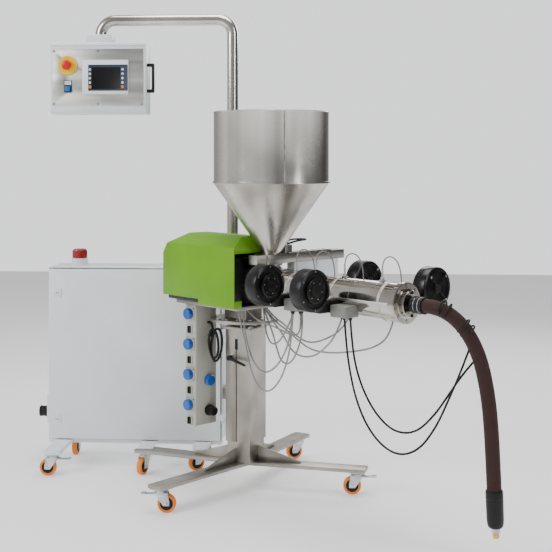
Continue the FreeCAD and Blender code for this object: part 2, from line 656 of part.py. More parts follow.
HOSE = [(810, 0, 880), (880, 0, 880), (948, 34, 826), (985, 75, 730), (1005, 100, 600),
        (1014, 115, 440), (1018, 122, 245)]
CABLES = [
    [(500, -92, 818), (506, -90, 725), (522, -87, 620), (550, -84, 520), (600, -81, 430),
     (672, -78, 368), (757, -76, 348), (838, -66, 385), (890, -38, 470), (918, -4, 565),
     (941, 34, 660), (961, 56, 740)],
    [(522, -84, 818), (528, -82, 730), (545, -79, 635), (583, -76, 548), (643, -72, 472),
     (722, -65, 424), (806, -48, 434), (866, -16, 504), (904, 24, 585), (930, 64, 650),
     (962, 94, 700)],
]
LEADS = [
    [(225, -80, 818), (196, -84, 760), (150, -78, 700), (90, -50, 664), (20, -20, 650),
     (-40, 10, 680), (-66, 22, 740), (-75, 24, 785)],
    [(262, -80, 818), (270, -82, 740), (240, -84, 650), (170, -60, 590), (90, -30, 590),
     (20, 14, 625), (-34, 34, 700), (-92, 38, 785)],
    [(480, -80, 818), (450, -84, 740), (380, -80, 680), (300, -50, 640), (200, -20, 620),
     (110, 10, 630), (30, 34, 690), (-45, 44, 735), (-100, 50, 785)],
    [(390, 75, 818), (350, 62, 740), (270, 40, 690), (180, 40, 665), (90, 60, 680),
     (10, 66, 720), (-55, 62, 748), (-110, 66, 785)],
    [(600, 75, 818), (590, 62, 740), (530, 40, 690), (430, 20, 665), (330, 0, 650),
     (230, 0, 650), (135, 22, 675), (50, 48, 700), (-35, 58, 725), (-118, 60, 785)],
    [(232, -104, 818), (230, -106, 745), (204, -106, 660), (146, -104, 585), (70, -100, 545),
     (0, -94, 575), (-50, -88, 650), (-74, -84, 720), (-80, -82, 785)],
    [(252, -118, 818), (250, -122, 735), (234, -124, 640), (190, -122, 545), (120, -120, 480),
     (44, -116, 490), (-8, -112, 570), (-40, -108, 665), (-72, -104, 730), (-84, -104, 785)],
    [(272, -100, 818), (266, -88, 760), (226, -66, 715), (160, -40, 705), (84, -24, 715),
     (10, -34, 735), (-46, -46, 745), (-96, -50, 785)],
]
# Offsets from a probe's top, over the barrel and down its far side.
ARCH = [(0, 0, 0), (2, 1, 23), (9, 12, 41), (17, 32, 44), (24, 52, 29), (28, 66, 1),
        (29, 73, -34), (29, 74, -74), (28, 74, -114)]


def cords():
    hose = cord_shape(HOSE, size("hose_radius"), "hose_tube")
    node("hose", [hose], head)
    end = HOSE[-1]
    tip = V(*HOSE[-1]) - V(*HOSE[-2])
    tip.normalize()
    tilt = FreeCAD.Rotation(V(0, 0, 1), tip)
    sleeve_tube = doc.addObject("Part::Cylinder", "end_sleeve")
    sleeve_tube.Placement = FreeCAD.Placement(V(*end), tilt)
    bind(sleeve_tube, Radius="hose_radius + 5", Height=132)
    node("hose_end_sleeve", [sleeve_tube], head)
    hexagon = doc.addObject("Part::Prism", "hexagon")
    hexagon.Polygon = 6
    hexagon.Placement = FreeCAD.Placement(V(*end) + tip * 132, tilt)
    bind(hexagon, Circumradius=16, Height=24)
    cap = doc.addObject("Part::Cylinder", "cap")
    cap.Placement = FreeCAD.Placement(V(*end) + tip * 156, tilt)
    bind(cap, Radius=12, Height=14)
    node("hose_nozzle", [hexagon, cap], head)
    node("hose_cables", [cord_shape(route, size("cable_radius"), "cable_%d" % k)
                         for k, route in enumerate(CABLES, start=1)], head)
    node("heater_leads", [cord_shape(route, size("lead_radius"), "lead_%d" % k)
                          for k, route in enumerate(LEADS, start=1)], head)
    top = size("barrel_height") + size("barrel_radius") + 48
    arches = []
    for k, along in enumerate(PROBES, start=1):
        route = [(along + dx, dy, top + dz) for dx, dy, dz in ARCH]
        arches.append(cord_shape(route, size("probe_lead_radius"), "arch_%d" % k))
    node("sensor_leads", arches, head)


casters()
stand_frame()
sleeve()
head_base()
gear_cover()
drive()
barrel()
blowers()
hopper()
sockets()
cabinet_parts()
arm()
panel()
cords()
doc.recompute()

for item in doc.Objects:
    if "Invalid" in item.State or "Error" in item.State:
        raise RuntimeError("%s did not recompute: %s" % (item.Label, item.State))
bounds = FreeCAD.BoundBox()
CORDS = ("hose", "hose_end_sleeve", "hose_nozzle", "hose_cables", "heater_leads",
         "sensor_leads")
for item in nodes:
    if item.Shape.isNull() or not item.Shape.isValid():
        raise RuntimeError("%s has no valid shape" % item.Label)
    if item.Label not in CORDS:
        bounds.add(item.Shape.BoundBox)
print("box", bounds, "centre", bounds.Center)
os.makedirs("parts", exist_ok=True)
for item in nodes:
    item.Shape.exportStep("parts/%s.step" % item.Label)
print(len(nodes), "nodes written")
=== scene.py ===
# %% [markdown]
# # A wheeled plastic extruder
# The machine melts plastic granules and pushes them through a heated hose. We only add
# surfaces, small details and flexible cords, so nothing is moved.

# %% Load the frame and note its size
import bpy
import bmesh
import json
import math
from mathutils import Matrix, Vector

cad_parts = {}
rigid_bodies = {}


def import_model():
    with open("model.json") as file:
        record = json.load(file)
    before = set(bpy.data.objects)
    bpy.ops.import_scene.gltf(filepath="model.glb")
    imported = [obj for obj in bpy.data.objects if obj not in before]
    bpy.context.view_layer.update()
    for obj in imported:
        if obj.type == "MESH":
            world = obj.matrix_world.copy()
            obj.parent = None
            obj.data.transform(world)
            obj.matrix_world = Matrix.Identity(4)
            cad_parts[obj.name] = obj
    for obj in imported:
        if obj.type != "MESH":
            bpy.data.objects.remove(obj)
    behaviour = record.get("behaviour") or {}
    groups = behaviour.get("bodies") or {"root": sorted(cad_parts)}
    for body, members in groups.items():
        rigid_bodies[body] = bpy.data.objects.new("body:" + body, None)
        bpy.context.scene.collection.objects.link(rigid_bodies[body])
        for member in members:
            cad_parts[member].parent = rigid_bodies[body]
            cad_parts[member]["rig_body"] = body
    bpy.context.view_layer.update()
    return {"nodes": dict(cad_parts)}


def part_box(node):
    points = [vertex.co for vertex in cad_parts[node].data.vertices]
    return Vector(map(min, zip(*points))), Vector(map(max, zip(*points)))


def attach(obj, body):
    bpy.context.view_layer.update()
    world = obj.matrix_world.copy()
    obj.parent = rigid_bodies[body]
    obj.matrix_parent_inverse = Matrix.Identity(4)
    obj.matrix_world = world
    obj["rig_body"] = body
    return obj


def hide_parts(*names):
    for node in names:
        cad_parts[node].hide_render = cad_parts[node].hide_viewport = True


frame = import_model()
NODES = frame["nodes"]

# %% [markdown]
# ## The head's own frame
# The head (drive, hopper and barrel) is turned about the column, so its details are easier to
# write in the head's own frame: +X along the barrel, the origin under the hopper. Its place is
# read from the hopper's own box.

# %% Local frame of the head, and the turns that aim a lathe
HEAD_YAW = math.radians(-43)
drum_low, drum_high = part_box("hopper_drum")
hopper_centre = (drum_low + drum_high) / 2
HEAD = Matrix.Translation((hopper_centre.x, hopper_centre.y, 0)) @ Matrix.Rotation(HEAD_YAW, 4, "Z")
TO_Z = Matrix.Identity(4)
TO_X = Matrix.Rotation(math.radians(90), 4, "Y")
TO_BACK = Matrix.Rotation(math.radians(-90), 4, "X")
TO_FRONT = Matrix.Rotation(math.radians(90), 4, "X")
TO_LEFT = Matrix.Rotation(math.radians(-90), 4, "Y")
MM = 0.001


def at(x, y, z):
    """A place in millimetres as a matrix in metres."""
    return Matrix.Translation((x * MM, y * MM, z * MM))


def aimed(direction):
    """The turn that brings +Z to a direction."""
    return direction.to_track_quat("Z", "Y").to_matrix().to_4x4()


def head_point(x, y, z):
    return HEAD @ Vector((x * MM, y * MM, z * MM))


print("hopper axis:", [round(v, 4) for v in head_point(0, 0, 0)])

# %% [markdown]
# ## The camera
# The machine was looked at from about eye height with a fairly long lens. The camera is level,
# so upright edges stay parallel, and the lens is shifted down to frame the machine, as an
# architect's camera would be. A tilted camera would make the column lean.

# %% Camera
EYE_HEIGHT = 1.40
FOCAL_LENGTH = 71.7
column_low, column_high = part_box("inner_column")
column_centre = (column_low + column_high) / 2
VIEW_TURN = math.radians(4)
FROM_COLUMN = Vector((-0.130, 4.735, 0))
camera_data = bpy.data.cameras.new("studio_camera")
camera_data.lens = FOCAL_LENGTH
camera_data.shift_y = -0.21
camera = bpy.data.objects.new("studio_camera", camera_data)
camera.location = column_centre - Matrix.Rotation(VIEW_TURN, 3, "Z") @ FROM_COLUMN
camera.location.z = EYE_HEIGHT
camera.rotation_euler = (math.radians(90), 0, VIEW_TURN)
bpy.context.scene.collection.objects.link(camera)
bpy.context.scene.camera = camera
print("camera at", [round(v, 3) for v in camera.location])

# %% [markdown]
# ## Shader groups that several finishes share
# Real surfaces are never one flat value. Three small groups are made once and placed in the
# materials with their own numbers: fine orange peel for sprayed paint, long brushing marks with
# painted reflection bands for sheet steel, and soft cloudy handling marks that change the
# roughness.


# %% Helpers for node groups
def connect(tree, *pairs):
    for source, target in pairs:
        tree.links.new(source, target)


def group_with(name, inputs, outputs):
    tree = bpy.data.node_groups.new(name, "ShaderNodeTree")
    for label, kind, value in inputs:
        socket = tree.interface.new_socket(label, in_out="INPUT", socket_type=kind)
        socket.default_value = value
    for label, kind in outputs:
        tree.interface.new_socket(label, in_out="OUTPUT", socket_type=kind)
    start = tree.nodes.new("NodeGroupInput")
    end = tree.nodes.new("NodeGroupOutput")
    return tree, start, end


# %% Cloudy handling marks
cloud_tree, start, end = group_with(
    "handling_marks",
    [("Scale", "NodeSocketFloat", 6.0), ("Low", "NodeSocketFloat", 0.3),
     ("High", "NodeSocketFloat", 0.5)],
    [("Value", "NodeSocketFloat"), ("Mask", "NodeSocketFloat")])
place = cloud_tree.nodes.new("ShaderNodeTexCoord")
noise = cloud_tree.nodes.new("ShaderNodeTexNoise")
noise.inputs["Detail"].default_value = 5
spread = cloud_tree.nodes.new("ShaderNodeMapRange")
spread.inputs["From Min"].default_value = 0.35
spread.inputs["From Max"].default_value = 0.68
mask = cloud_tree.nodes.new("ShaderNodeMapRange")
mask.inputs["From Min"].default_value = 0.35
mask.inputs["From Max"].default_value = 0.68
connect(cloud_tree,
        (place.outputs["Object"], noise.inputs["Vector"]),
        (start.outputs["Scale"], noise.inputs["Scale"]),
        (noise.outputs["Fac"], spread.inputs["Value"]),
        (start.outputs["Low"], spread.inputs["To Min"]),
        (start.outputs["High"], spread.inputs["To Max"]),
        (noise.outputs["Fac"], mask.inputs["Value"]),
        (spread.outputs["Result"], end.inputs["Value"]),
        (mask.outputs["Result"], end.inputs["Mask"]))

# %% Brushing marks and painted reflection bands, stretched along one direction by their scale
brush_and_band_tree, start, end = group_with(
    "brushing_marks",
    [("Stretch", "NodeSocketVector", (40.0, 40.0, 1.0)),
     ("Turn", "NodeSocketVector", (0.0, 0.0, 0.0))],
    [("Height", "NodeSocketFloat"), ("Mask", "NodeSocketFloat")])
place = brush_and_band_tree.nodes.new("ShaderNodeTexCoord")
mapping = brush_and_band_tree.nodes.new("ShaderNodeMapping")
fine = brush_and_band_tree.nodes.new("ShaderNodeTexNoise")
fine.inputs["Scale"].default_value = 12
fine.inputs["Detail"].default_value = 6
# The broad noise gives the mask of the painted reflection bands; the fine noise is the brushing
# bump.
broad = brush_and_band_tree.nodes.new("ShaderNodeTexNoise")
broad.inputs["Scale"].default_value = 0.8
broad.inputs["Detail"].default_value = 2
contrast = brush_and_band_tree.nodes.new("ShaderNodeMapRange")
contrast.inputs["From Min"].default_value = 0.32
contrast.inputs["From Max"].default_value = 0.68
connect(brush_and_band_tree,
        (place.outputs["Object"], mapping.inputs["Vector"]),
        (start.outputs["Stretch"], mapping.inputs["Scale"]),
        (start.outputs["Turn"], mapping.inputs["Rotation"]),
        (mapping.outputs["Vector"], fine.inputs["Vector"]),
        (mapping.outputs["Vector"], broad.inputs["Vector"]),
        (fine.outputs["Fac"], end.inputs["Height"]),
        (broad.outputs["Fac"], contrast.inputs["Value"]),
        (contrast.outputs["Result"], end.inputs["Mask"]))

# %% Orange peel of sprayed or powder-coated paint
peel_tree, start, end = group_with(
    "orange_peel", [("Scale", "NodeSocketFloat", 700.0)], [("Height", "NodeSocketFloat")])
place = peel_tree.nodes.new("ShaderNodeTexCoord")
grain = peel_tree.nodes.new("ShaderNodeTexNoise")
grain.inputs["Detail"].default_value = 2
connect(peel_tree,
        (place.outputs["Object"], grain.inputs["Vector"]),
        (start.outputs["Scale"], grain.inputs["Scale"]),
        (grain.outputs["Fac"], end.inputs["Height"]))
print("shader groups:", [tree.name for tree in bpy.data.node_groups])

# %% [markdown]
# ## Materials
# Each finish is one function call. Paint mixes its colour a little with the cloudy mask, and
# steel gets painted reflection bands, light and dark, from the stretched noise, because a plain
# metal shader under soft light looks like grey plastic. The Principled shader stays in each
# material.


# %% Helpers that build a finish
def new_finish(name):
    finish = bpy.data.materials.new(name)
    finish.use_nodes = True
    nodes = finish.node_tree.nodes
    return finish, nodes, finish.node_tree.links.new, nodes["Principled BSDF"]


def use_group(nodes, tree, **values):
    item = nodes.new("ShaderNodeGroup")
    item.node_tree = tree
    for label, value in values.items():
        item.inputs[label].default_value = value
    return item


def two_colours(nodes, link, factor, low, high):
    mix = nodes.new("ShaderNodeMix")
    mix.data_type = "RGBA"
    mix.inputs["A"].default_value = (*low, 1)
    mix.inputs["B"].default_value = (*high, 1)
    link(factor, mix.inputs["Factor"])
    return mix.outputs["Result"]


def bump(nodes, link, height, strength, distance=0.001):
    item = nodes.new("ShaderNodeBump")
    item.inputs["Strength"].default_value = strength
    item.inputs["Distance"].default_value = distance
    link(height, item.inputs["Height"])
    return item.outputs["Normal"]


def painted(name, low, high, rough=(0.28, 0.42), peel=0.12, marks=5.0):
    """Sprayed paint or moulded plastic."""
    finish, nodes, link, shader = new_finish(name)
    cloud = use_group(nodes, cloud_tree, Scale=marks, Low=rough[0], High=rough[1])
    link(two_colours(nodes, link, cloud.outputs["Mask"], low, high), shader.inputs["Base Color"])
    link(cloud.outputs["Value"], shader.inputs["Roughness"])
    skin = use_group(nodes, peel_tree, Scale=700.0)
    link(bump(nodes, link, skin.outputs["Height"], peel, 0.0004), shader.inputs["Normal"])
    return finish


def brushed(name, low, high, stretch, rough=(0.22, 0.38), mark=0.1, turn=(0, 0, 0)):
    """Sheet or bar steel with long marks and painted reflection bands."""
    finish, nodes, link, shader = new_finish(name)
    shader.inputs["Metallic"].default_value = 1.0
    marks_and_bands = use_group(nodes, brush_and_band_tree, Stretch=stretch, Turn=turn)
    cloud = use_group(nodes, cloud_tree, Scale=7.0, Low=rough[0], High=rough[1])
    # Base colour swings from low to high along the broad mask: painted reflection bands.
    link(two_colours(nodes, link, marks_and_bands.outputs["Mask"], low, high), shader.inputs["Base Color"])
    link(cloud.outputs["Value"], shader.inputs["Roughness"])
    link(bump(nodes, link, marks_and_bands.outputs["Height"], mark, 0.0004), shader.inputs["Normal"])
    return finish


# %% Every finish on the machine
white_paint = painted("white_paint", (0.74, 0.77, 0.79), (0.80, 0.83, 0.85), (0.35, 0.5))
green_paint = painted("green_paint", (0.115, 0.31, 0.001), (0.15, 0.36, 0.002), (0.34, 0.46), 0.08)
beige_paint = painted("beige_paint", (0.42, 0.42, 0.36), (0.48, 0.48, 0.42), (0.4, 0.55))
box_grey = painted("box_grey", (0.16, 0.16, 0.145), (0.22, 0.22, 0.20), (0.35, 0.5))
black_paint = painted("black_paint", (0.003, 0.003, 0.003), (0.007, 0.007, 0.007), (0.26, 0.40))
black_plastic = painted("black_plastic", (0.003, 0.003, 0.003), (0.007, 0.007, 0.008), (0.4, 0.6))
grey_lead = painted("grey_lead", (0.20, 0.20, 0.19), (0.28, 0.28, 0.27), (0.35, 0.5))
orange_tread = painted("orange_tread", (0.70, 0.17, 0.004), (0.80, 0.23, 0.008), (0.4, 0.55))
blue_plastic = painted("blue_plastic", (0.006, 0.09, 0.38), (0.01, 0.12, 0.46), (0.3, 0.4))
red_plastic = painted("red_plastic", (0.52, 0.002, 0.002), (0.60, 0.004, 0.004), (0.3, 0.4))
yellow_plastic = painted("yellow_plastic", (0.84, 0.53, 0.0), (0.88, 0.58, 0.0), (0.4, 0.5))
screen_grey = painted("screen_grey", (0.025, 0.040, 0.062), (0.035, 0.052, 0.080), (0.35, 0.5))
key_white = painted("key_white", (0.6, 0.6, 0.6), (0.7, 0.7, 0.7), (0.3, 0.4))
key_orange = painted("key_orange", (0.78, 0.20, 0.0), (0.84, 0.24, 0.0), (0.3, 0.4))
display_dark = painted("display_dark", (0.002, 0.003, 0.004), (0.004, 0.005, 0.007),
                       (0.3, 0.4), 0.0)
for finish in (black_paint, black_plastic, display_dark, screen_grey, green_paint):
    finish.node_tree.nodes["Principled BSDF"].inputs["Specular IOR Level"].default_value = 0.3
# Each steel's low and high colours are the dark and light ends of painted reflection bands.
stainless_round = brushed("stainless_round", (0.20, 0.18, 0.155), (0.84, 0.81, 0.76),
                          (9.0, 9.0, 0.05), (0.2, 0.32), 0.05)
# The cone's stainless is painted darker than the drum's: painted shade on the downward-facing cone.
cone_steel = brushed("cone_steel", (0.14, 0.125, 0.105), (0.60, 0.57, 0.52),
                     (7.0, 7.0, 0.4), (0.22, 0.34), 0.05)
stainless_flat = brushed("stainless_flat", (0.26, 0.25, 0.235), (0.54, 0.52, 0.49),
                         (1.2, 1.2, 60.0), (0.28, 0.42), 0.12)
stainless_face = brushed("stainless_face", (0.34, 0.335, 0.33), (0.70, 0.69, 0.67),
                         (2.0, 2.0, 22.0), (0.36, 0.5), 0.2)
tube_steel = brushed("tube_steel", (0.40, 0.37, 0.335), (0.80, 0.76, 0.71),
                     (3.0, 3.0, 3.0), (0.14, 0.24), 0.04)
polished_steel = brushed("polished_steel", (0.36, 0.33, 0.29), (0.80, 0.76, 0.70),
                         (5.0, 5.0, 5.0), (0.10, 0.22), 0.05)
bar_steel = brushed("bar_steel", (0.24, 0.225, 0.20), (0.46, 0.43, 0.39),
                    (6.0, 6.0, 6.0), (0.34, 0.5), 0.3)
zinc_plate = brushed("zinc_plate", (0.34, 0.36, 0.38), (0.62, 0.64, 0.66),
                     (20.0, 20.0, 20.0), (0.2, 0.35), 0.1)
print("finishes:", len(bpy.data.materials))

# %% [markdown]
# ## The red lens
# The beacon's cover is clear red plastic over a lamp. Thin tinted plastic is mostly gloss and
# colour from a distance, so a glossy coat over a deep red reads better here than full glass.

# %% Red lens finish
red_lens, nodes, link, shader = new_finish("red_lens")
cloud = use_group(nodes, cloud_tree, Scale=20.0, Low=0.12, High=0.25)
link(two_colours(nodes, link, cloud.outputs["Mask"], (0.22, 0.004, 0.008), (0.42, 0.01, 0.02)),
     shader.inputs["Base Color"])
link(cloud.outputs["Value"], shader.inputs["Roughness"])
shader.inputs["Coat Weight"].default_value = 1.0

# %% [markdown]
# ## The braided hose finish
# The heated hose wears a sleeve woven from dark brown and grey yarn. Its pattern must follow
# the hose, so it reads the hose's own UV map: one direction runs along, the other around. Two
# slanted waves cross each other and give the diamond weave, and the same waves lift the bump.


# %% Woven sleeve
def slanted_wave(nodes, link, vector, turn):
    mapping = nodes.new("ShaderNodeMapping")
    mapping.inputs["Rotation"].default_value = (0, 0, math.radians(turn))
    wave = nodes.new("ShaderNodeTexWave")
    wave.inputs["Scale"].default_value = 1.0
    wave.inputs["Distortion"].default_value = 0.6
    link(vector, mapping.inputs["Vector"])
    link(mapping.outputs["Vector"], wave.inputs["Vector"])
    return wave.outputs["Fac"]


braid, nodes, link, shader = new_finish("braid")
coordinates = nodes.new("ShaderNodeUVMap")
stretch = nodes.new("ShaderNodeMapping")
stretch.inputs["Scale"].default_value = (90.0, 14.0, 1.0)
link(coordinates.outputs["UV"], stretch.inputs["Vector"])
left = slanted_wave(nodes, link, stretch.outputs["Vector"], 45)
right = slanted_wave(nodes, link, stretch.outputs["Vector"], -45)
weave = nodes.new("ShaderNodeMath")
weave.operation = "MAXIMUM"
link(left, weave.inputs[0])
link(right, weave.inputs[1])
link(two_colours(nodes, link, weave.outputs["Value"], (0.003, 0.001, 0.001), (0.050, 0.021, 0.019)),
     shader.inputs["Base Color"])
link(bump(nodes, link, weave.outputs["Value"], 0.5, 0.0015), shader.inputs["Normal"])
shader.inputs["Roughness"].default_value = 0.75
shader.inputs["Specular IOR Level"].default_value = 0.25
shader.inputs["Sheen Weight"].default_value = 0.04

# %% [markdown]
# ## Hose, cables and leads
# A flexible cord is a smooth curve, not a chain of straight pieces. Each one is a NURBS curve
# whose control points are the route that the construction was planned with. Order 3 keeps the
# curve close to those points, and the end flag makes it touch its first and last point. The
# thickness sits in the points' own radius, because the box of a curve is measured with it.


# %% Cord helper
def cord_piece(name, route, radius, body, finish, node, far_end, stiffness, lay, **more):
    curve = bpy.data.curves.new(name, "CURVE")
    curve.dimensions = "3D"
    spline = curve.splines.new("NURBS")
    spline.points.add(len(route) - 1)
    for point, spot in zip(spline.points, route):
        point.co = (*head_point(*spot), 1)
        point.radius = radius
    spline.order_u = 3
    spline.use_endpoint_u = True
    curve.resolution_u = 10
    curve.bevel_depth = 1
    curve.bevel_resolution = 6
    curve.use_fill_caps = True
    curve.materials.append(finish)
    piece = bpy.data.objects.new(name, curve)
    bpy.context.scene.collection.objects.link(piece)
    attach(piece, body)
    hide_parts(node)
    centreline = curve.copy()
    centreline.bevel_depth = 0
    probe = bpy.data.objects.new("centreline", centreline)
    line = bpy.data.meshes.new_from_object(probe)
    bpy.data.objects.remove(probe)
    return piece


# %% Routes, in millimetres on the head
HOSE = [(810, 0, 880), (880, 0, 880), (948, 34, 826), (985, 75, 730), (1005, 100, 600),
        (1014, 115, 440), (1018, 122, 245)]
CABLES = [
    [(500, -92, 818), (506, -90, 725), (522, -87, 620), (550, -84, 520), (600, -81, 430),
     (672, -78, 368), (757, -76, 348), (838, -66, 385), (890, -38, 470), (918, -4, 565),
     (941, 34, 660), (961, 56, 740)],
    [(522, -84, 818), (528, -82, 730), (545, -79, 635), (583, -76, 548), (643, -72, 472),
     (722, -65, 424), (806, -48, 434), (866, -16, 504), (904, 24, 585), (930, 64, 650),
     (962, 94, 700)],
]
LEADS = [
    [(225, -80, 818), (196, -84, 760), (150, -78, 700), (90, -50, 664), (20, -20, 650),
     (-40, 10, 680), (-66, 22, 740), (-75, 24, 785)],
    [(262, -80, 818), (270, -82, 740), (240, -84, 650), (170, -60, 590), (90, -30, 590),
     (20, 14, 625), (-34, 34, 700), (-92, 38, 785)],
    [(480, -80, 818), (450, -84, 740), (380, -80, 680), (300, -50, 640), (200, -20, 620),
     (110, 10, 630), (30, 34, 690), (-45, 44, 735), (-100, 50, 785)],
    [(390, 75, 818), (350, 62, 740), (270, 40, 690), (180, 40, 665), (90, 60, 680),
     (10, 66, 720), (-55, 62, 748), (-110, 66, 785)],
    [(600, 75, 818), (590, 62, 740), (530, 40, 690), (430, 20, 665), (330, 0, 650),
     (230, 0, 650), (135, 22, 675), (50, 48, 700), (-35, 58, 725), (-118, 60, 785)],
    [(232, -104, 818), (230, -106, 745), (204, -106, 660), (146, -104, 585), (70, -100, 545),
     (0, -94, 575), (-50, -88, 650), (-74, -84, 720), (-80, -82, 785)],
    [(252, -118, 818), (250, -122, 735), (234, -124, 640), (190, -122, 545), (120, -120, 480),
     (44, -116, 490), (-8, -112, 570), (-40, -108, 665), (-72, -104, 730), (-84, -104, 785)],
    [(272, -100, 818), (266, -88, 760), (226, -66, 715), (160, -40, 705), (84, -24, 715),
     (10, -34, 735), (-46, -46, 745), (-96, -50, 785)],
]
PROBES = (150, 262, 415, 606)
PROBE_TOP = 999
ARCH = [(0, 0, 0), (2, 1, 23), (9, 12, 41), (17, 32, 44), (24, 52, 29), (28, 66, 1),
        (29, 73, -34), (29, 74, -74), (28, 74, -114)]

# %% Make the cords
CABLE_RADIUS = 0.004
LEAD_RADIUS = 0.0035
hose = cord_piece("hose", HOSE, 0.026, "head", braid, "hose", "fitting", "stiff", "hanging",
                  with_pieces=["hose_end_sleeve", "hose_nozzle"])
hose.data.bevel_resolution = 12
hose.data.resolution_u = 24
for number, route in enumerate(CABLES, start=1):
    cord_piece("hose_cable_%d" % number, route, CABLE_RADIUS, "head", black_plastic, "hose_cables",
               "object", "medium", "hanging")
for number, route in enumerate(LEADS, start=1):
    cord_piece("heater_lead_%d" % number, route, LEAD_RADIUS, "head", grey_lead, "heater_leads",
               "object", "medium", "hanging")
for number, along in enumerate(PROBES, start=1):
    route = [(along + dx, dy, PROBE_TOP + dz) for dx, dy, dz in ARCH]
    cord_piece("sensor_lead_%d" % number, route, 0.0025, "head", grey_lead, "sensor_leads",
               "object", "medium", "loose")

# %% [markdown]
# ## Shaping helpers
# Most round parts are turned on a lathe in real life, and a lathed profile is also the
# cleanest mesh for them. Folded or cut parts are blocks whose edges get a small bevel, because
# a real edge always catches a line of light.


# %% Make an object from a mesh
def finished(name, mesh, body, finish, replaced=(), smooth=30):
    mesh.materials.clear()
    mesh.materials.append(finish)
    for face in mesh.polygons:
        face.use_smooth = True
    mesh.set_sharp_from_angle(angle=math.radians(smooth))
    piece = bpy.data.objects.new(name, mesh)
    bpy.context.scene.collection.objects.link(piece)
    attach(piece, body)
    if replaced:
        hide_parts(*replaced)
    return piece


# %% Lathe: a profile of (radius, height) pairs turned about its axis
def lathed(bm, profile, place=TO_Z, segments=64):
    rings = []
    for radius, height in profile:
        if radius < 1e-6:
            rings.append([bm.verts.new(place @ Vector((0, 0, height)))])
            continue
        ring = []
        for k in range(segments):
            angle = 2 * math.pi * k / segments
            spot = Vector((radius * math.cos(angle), radius * math.sin(angle), height))
            ring.append(bm.verts.new(place @ spot))
        rings.append(ring)
    for under, over in zip(rings, rings[1:]):
        for k in range(segments):
            n = (k + 1) % segments
            corners = [under[k % len(under)], under[n % len(under)],
                       over[n % len(over)], over[k % len(over)]]
            unique = [v for i, v in enumerate(corners) if v not in corners[:i]]
            if len(unique) > 2:
                bm.faces.new(unique)
    if len(rings[0]) > 1 and profile[0] == profile[-1]:
        bmesh.ops.remove_doubles(bm, verts=rings[0] + rings[-1], dist=1e-7)


# %% Bevelled block between two corners
def block(bm, low, high, edge=0.001, place=TO_Z, steps=2):
    made = bmesh.ops.create_cube(bm, size=1)["verts"]
    size = Vector(high) - Vector(low)
    middle = (Vector(high) + Vector(low)) / 2
    for vertex in made:
        vertex.co = Vector([c * s for c, s in zip(vertex.co, size)]) + middle
    edges = list({e for v in made for e in v.link_edges})
    result = bmesh.ops.bevel(bm, geom=edges, offset=edge, segments=steps, profile=0.5,
                             affect="EDGES", clamp_overlap=True)
    corners = {v for face in result["faces"] for v in face.verts} | {v for v in made if v.is_valid}
    for vertex in corners:
        vertex.co = place @ vertex.co


# %% Turn a bmesh into a finished piece
def built(name, bm, body, finish, replaced=(), smooth=30):
    bmesh.ops.recalc_face_normals(bm, faces=bm.faces)
    mesh = bpy.data.meshes.new(name)
    bm.to_mesh(mesh)
    bm.free()
    return finished(name, mesh, body, finish, replaced, smooth)


# %% One lathed profile as a piece of its own
def turned(name, body, finish, profile, place, segments, replaced=(), smooth=30):
    bm = bmesh.new()
    lathed(bm, profile, place, segments)
    built(name, bm, body, finish, replaced, smooth)

# %% [markdown]
# ## Strain reliefs
# A cable leaves its box through a tapered rubber sleeve, widest at the box, so that it does not
# kink at the edge. Each sleeve is a short lathed cone along the first stretch of its cable.


# %% Tapered sleeves on the cables and leads
def sleeve(bm, route, radius):
    start, after = Vector(head_point(*route[0])), Vector(head_point(*route[1]))
    lathed(bm, [(0, -0.001), (2.2 * radius, -0.001), (2.2 * radius, 0.002),
                (1.4 * radius, 0.012), (0, 0.0125)],
           Matrix.Translation(start) @ aimed(after - start), 24)


bm = bmesh.new()
for route in CABLES:
    sleeve(bm, route, CABLE_RADIUS)
for route in LEADS:
    sleeve(bm, route, LEAD_RADIUS)
built("cable_sleeves", bm, "head", black_plastic, smooth=50)
print("tapered sleeves:", len(CABLES) + len(LEADS))


def disc_profile(radius, low, high, edge):
    """A solid disc with rounded rims, as a lathe profile."""
    soft = edge * 0.3
    return [(0, low), (radius - edge, low), (radius - soft, low + soft), (radius, low + edge),
            (radius, high - edge), (radius - soft, high - soft), (radius - edge, high), (0, high)]


# %% Bevelled copy of a construction part
def softened(node, finish, edge=0.0012, body=None):
    """The part's own shape with merged corners and a small bevel."""
    source = NODES[node]
    bm = bmesh.new()
    bm.from_mesh(source.data)
    bmesh.ops.remove_doubles(bm, verts=bm.verts, dist=1e-6)
    bmesh.ops.dissolve_limit(bm, angle_limit=math.radians(1), verts=bm.verts, edges=bm.edges)
    mesh = bpy.data.meshes.new(node + "_soft")
    bm.to_mesh(mesh)
    bm.free()
    piece = finished(node + "_soft", mesh, body or source["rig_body"], finish, (node,))
    bevel = piece.modifiers.new("edges", "BEVEL")
    bevel.width = edge
    bevel.segments = 2
    bevel.limit_method = "ANGLE"
    bevel.angle_limit = math.radians(40)
    bevel.harden_normals = False
    view = bpy.context.evaluated_depsgraph_get()
    plain = bpy.data.meshes.new_from_object(piece.evaluated_get(view))
    piece.modifiers.clear()
    piece.data = plain
    for face in plain.polygons:
        face.use_smooth = True
    plain.set_sharp_from_angle(angle=math.radians(35))
    return piece


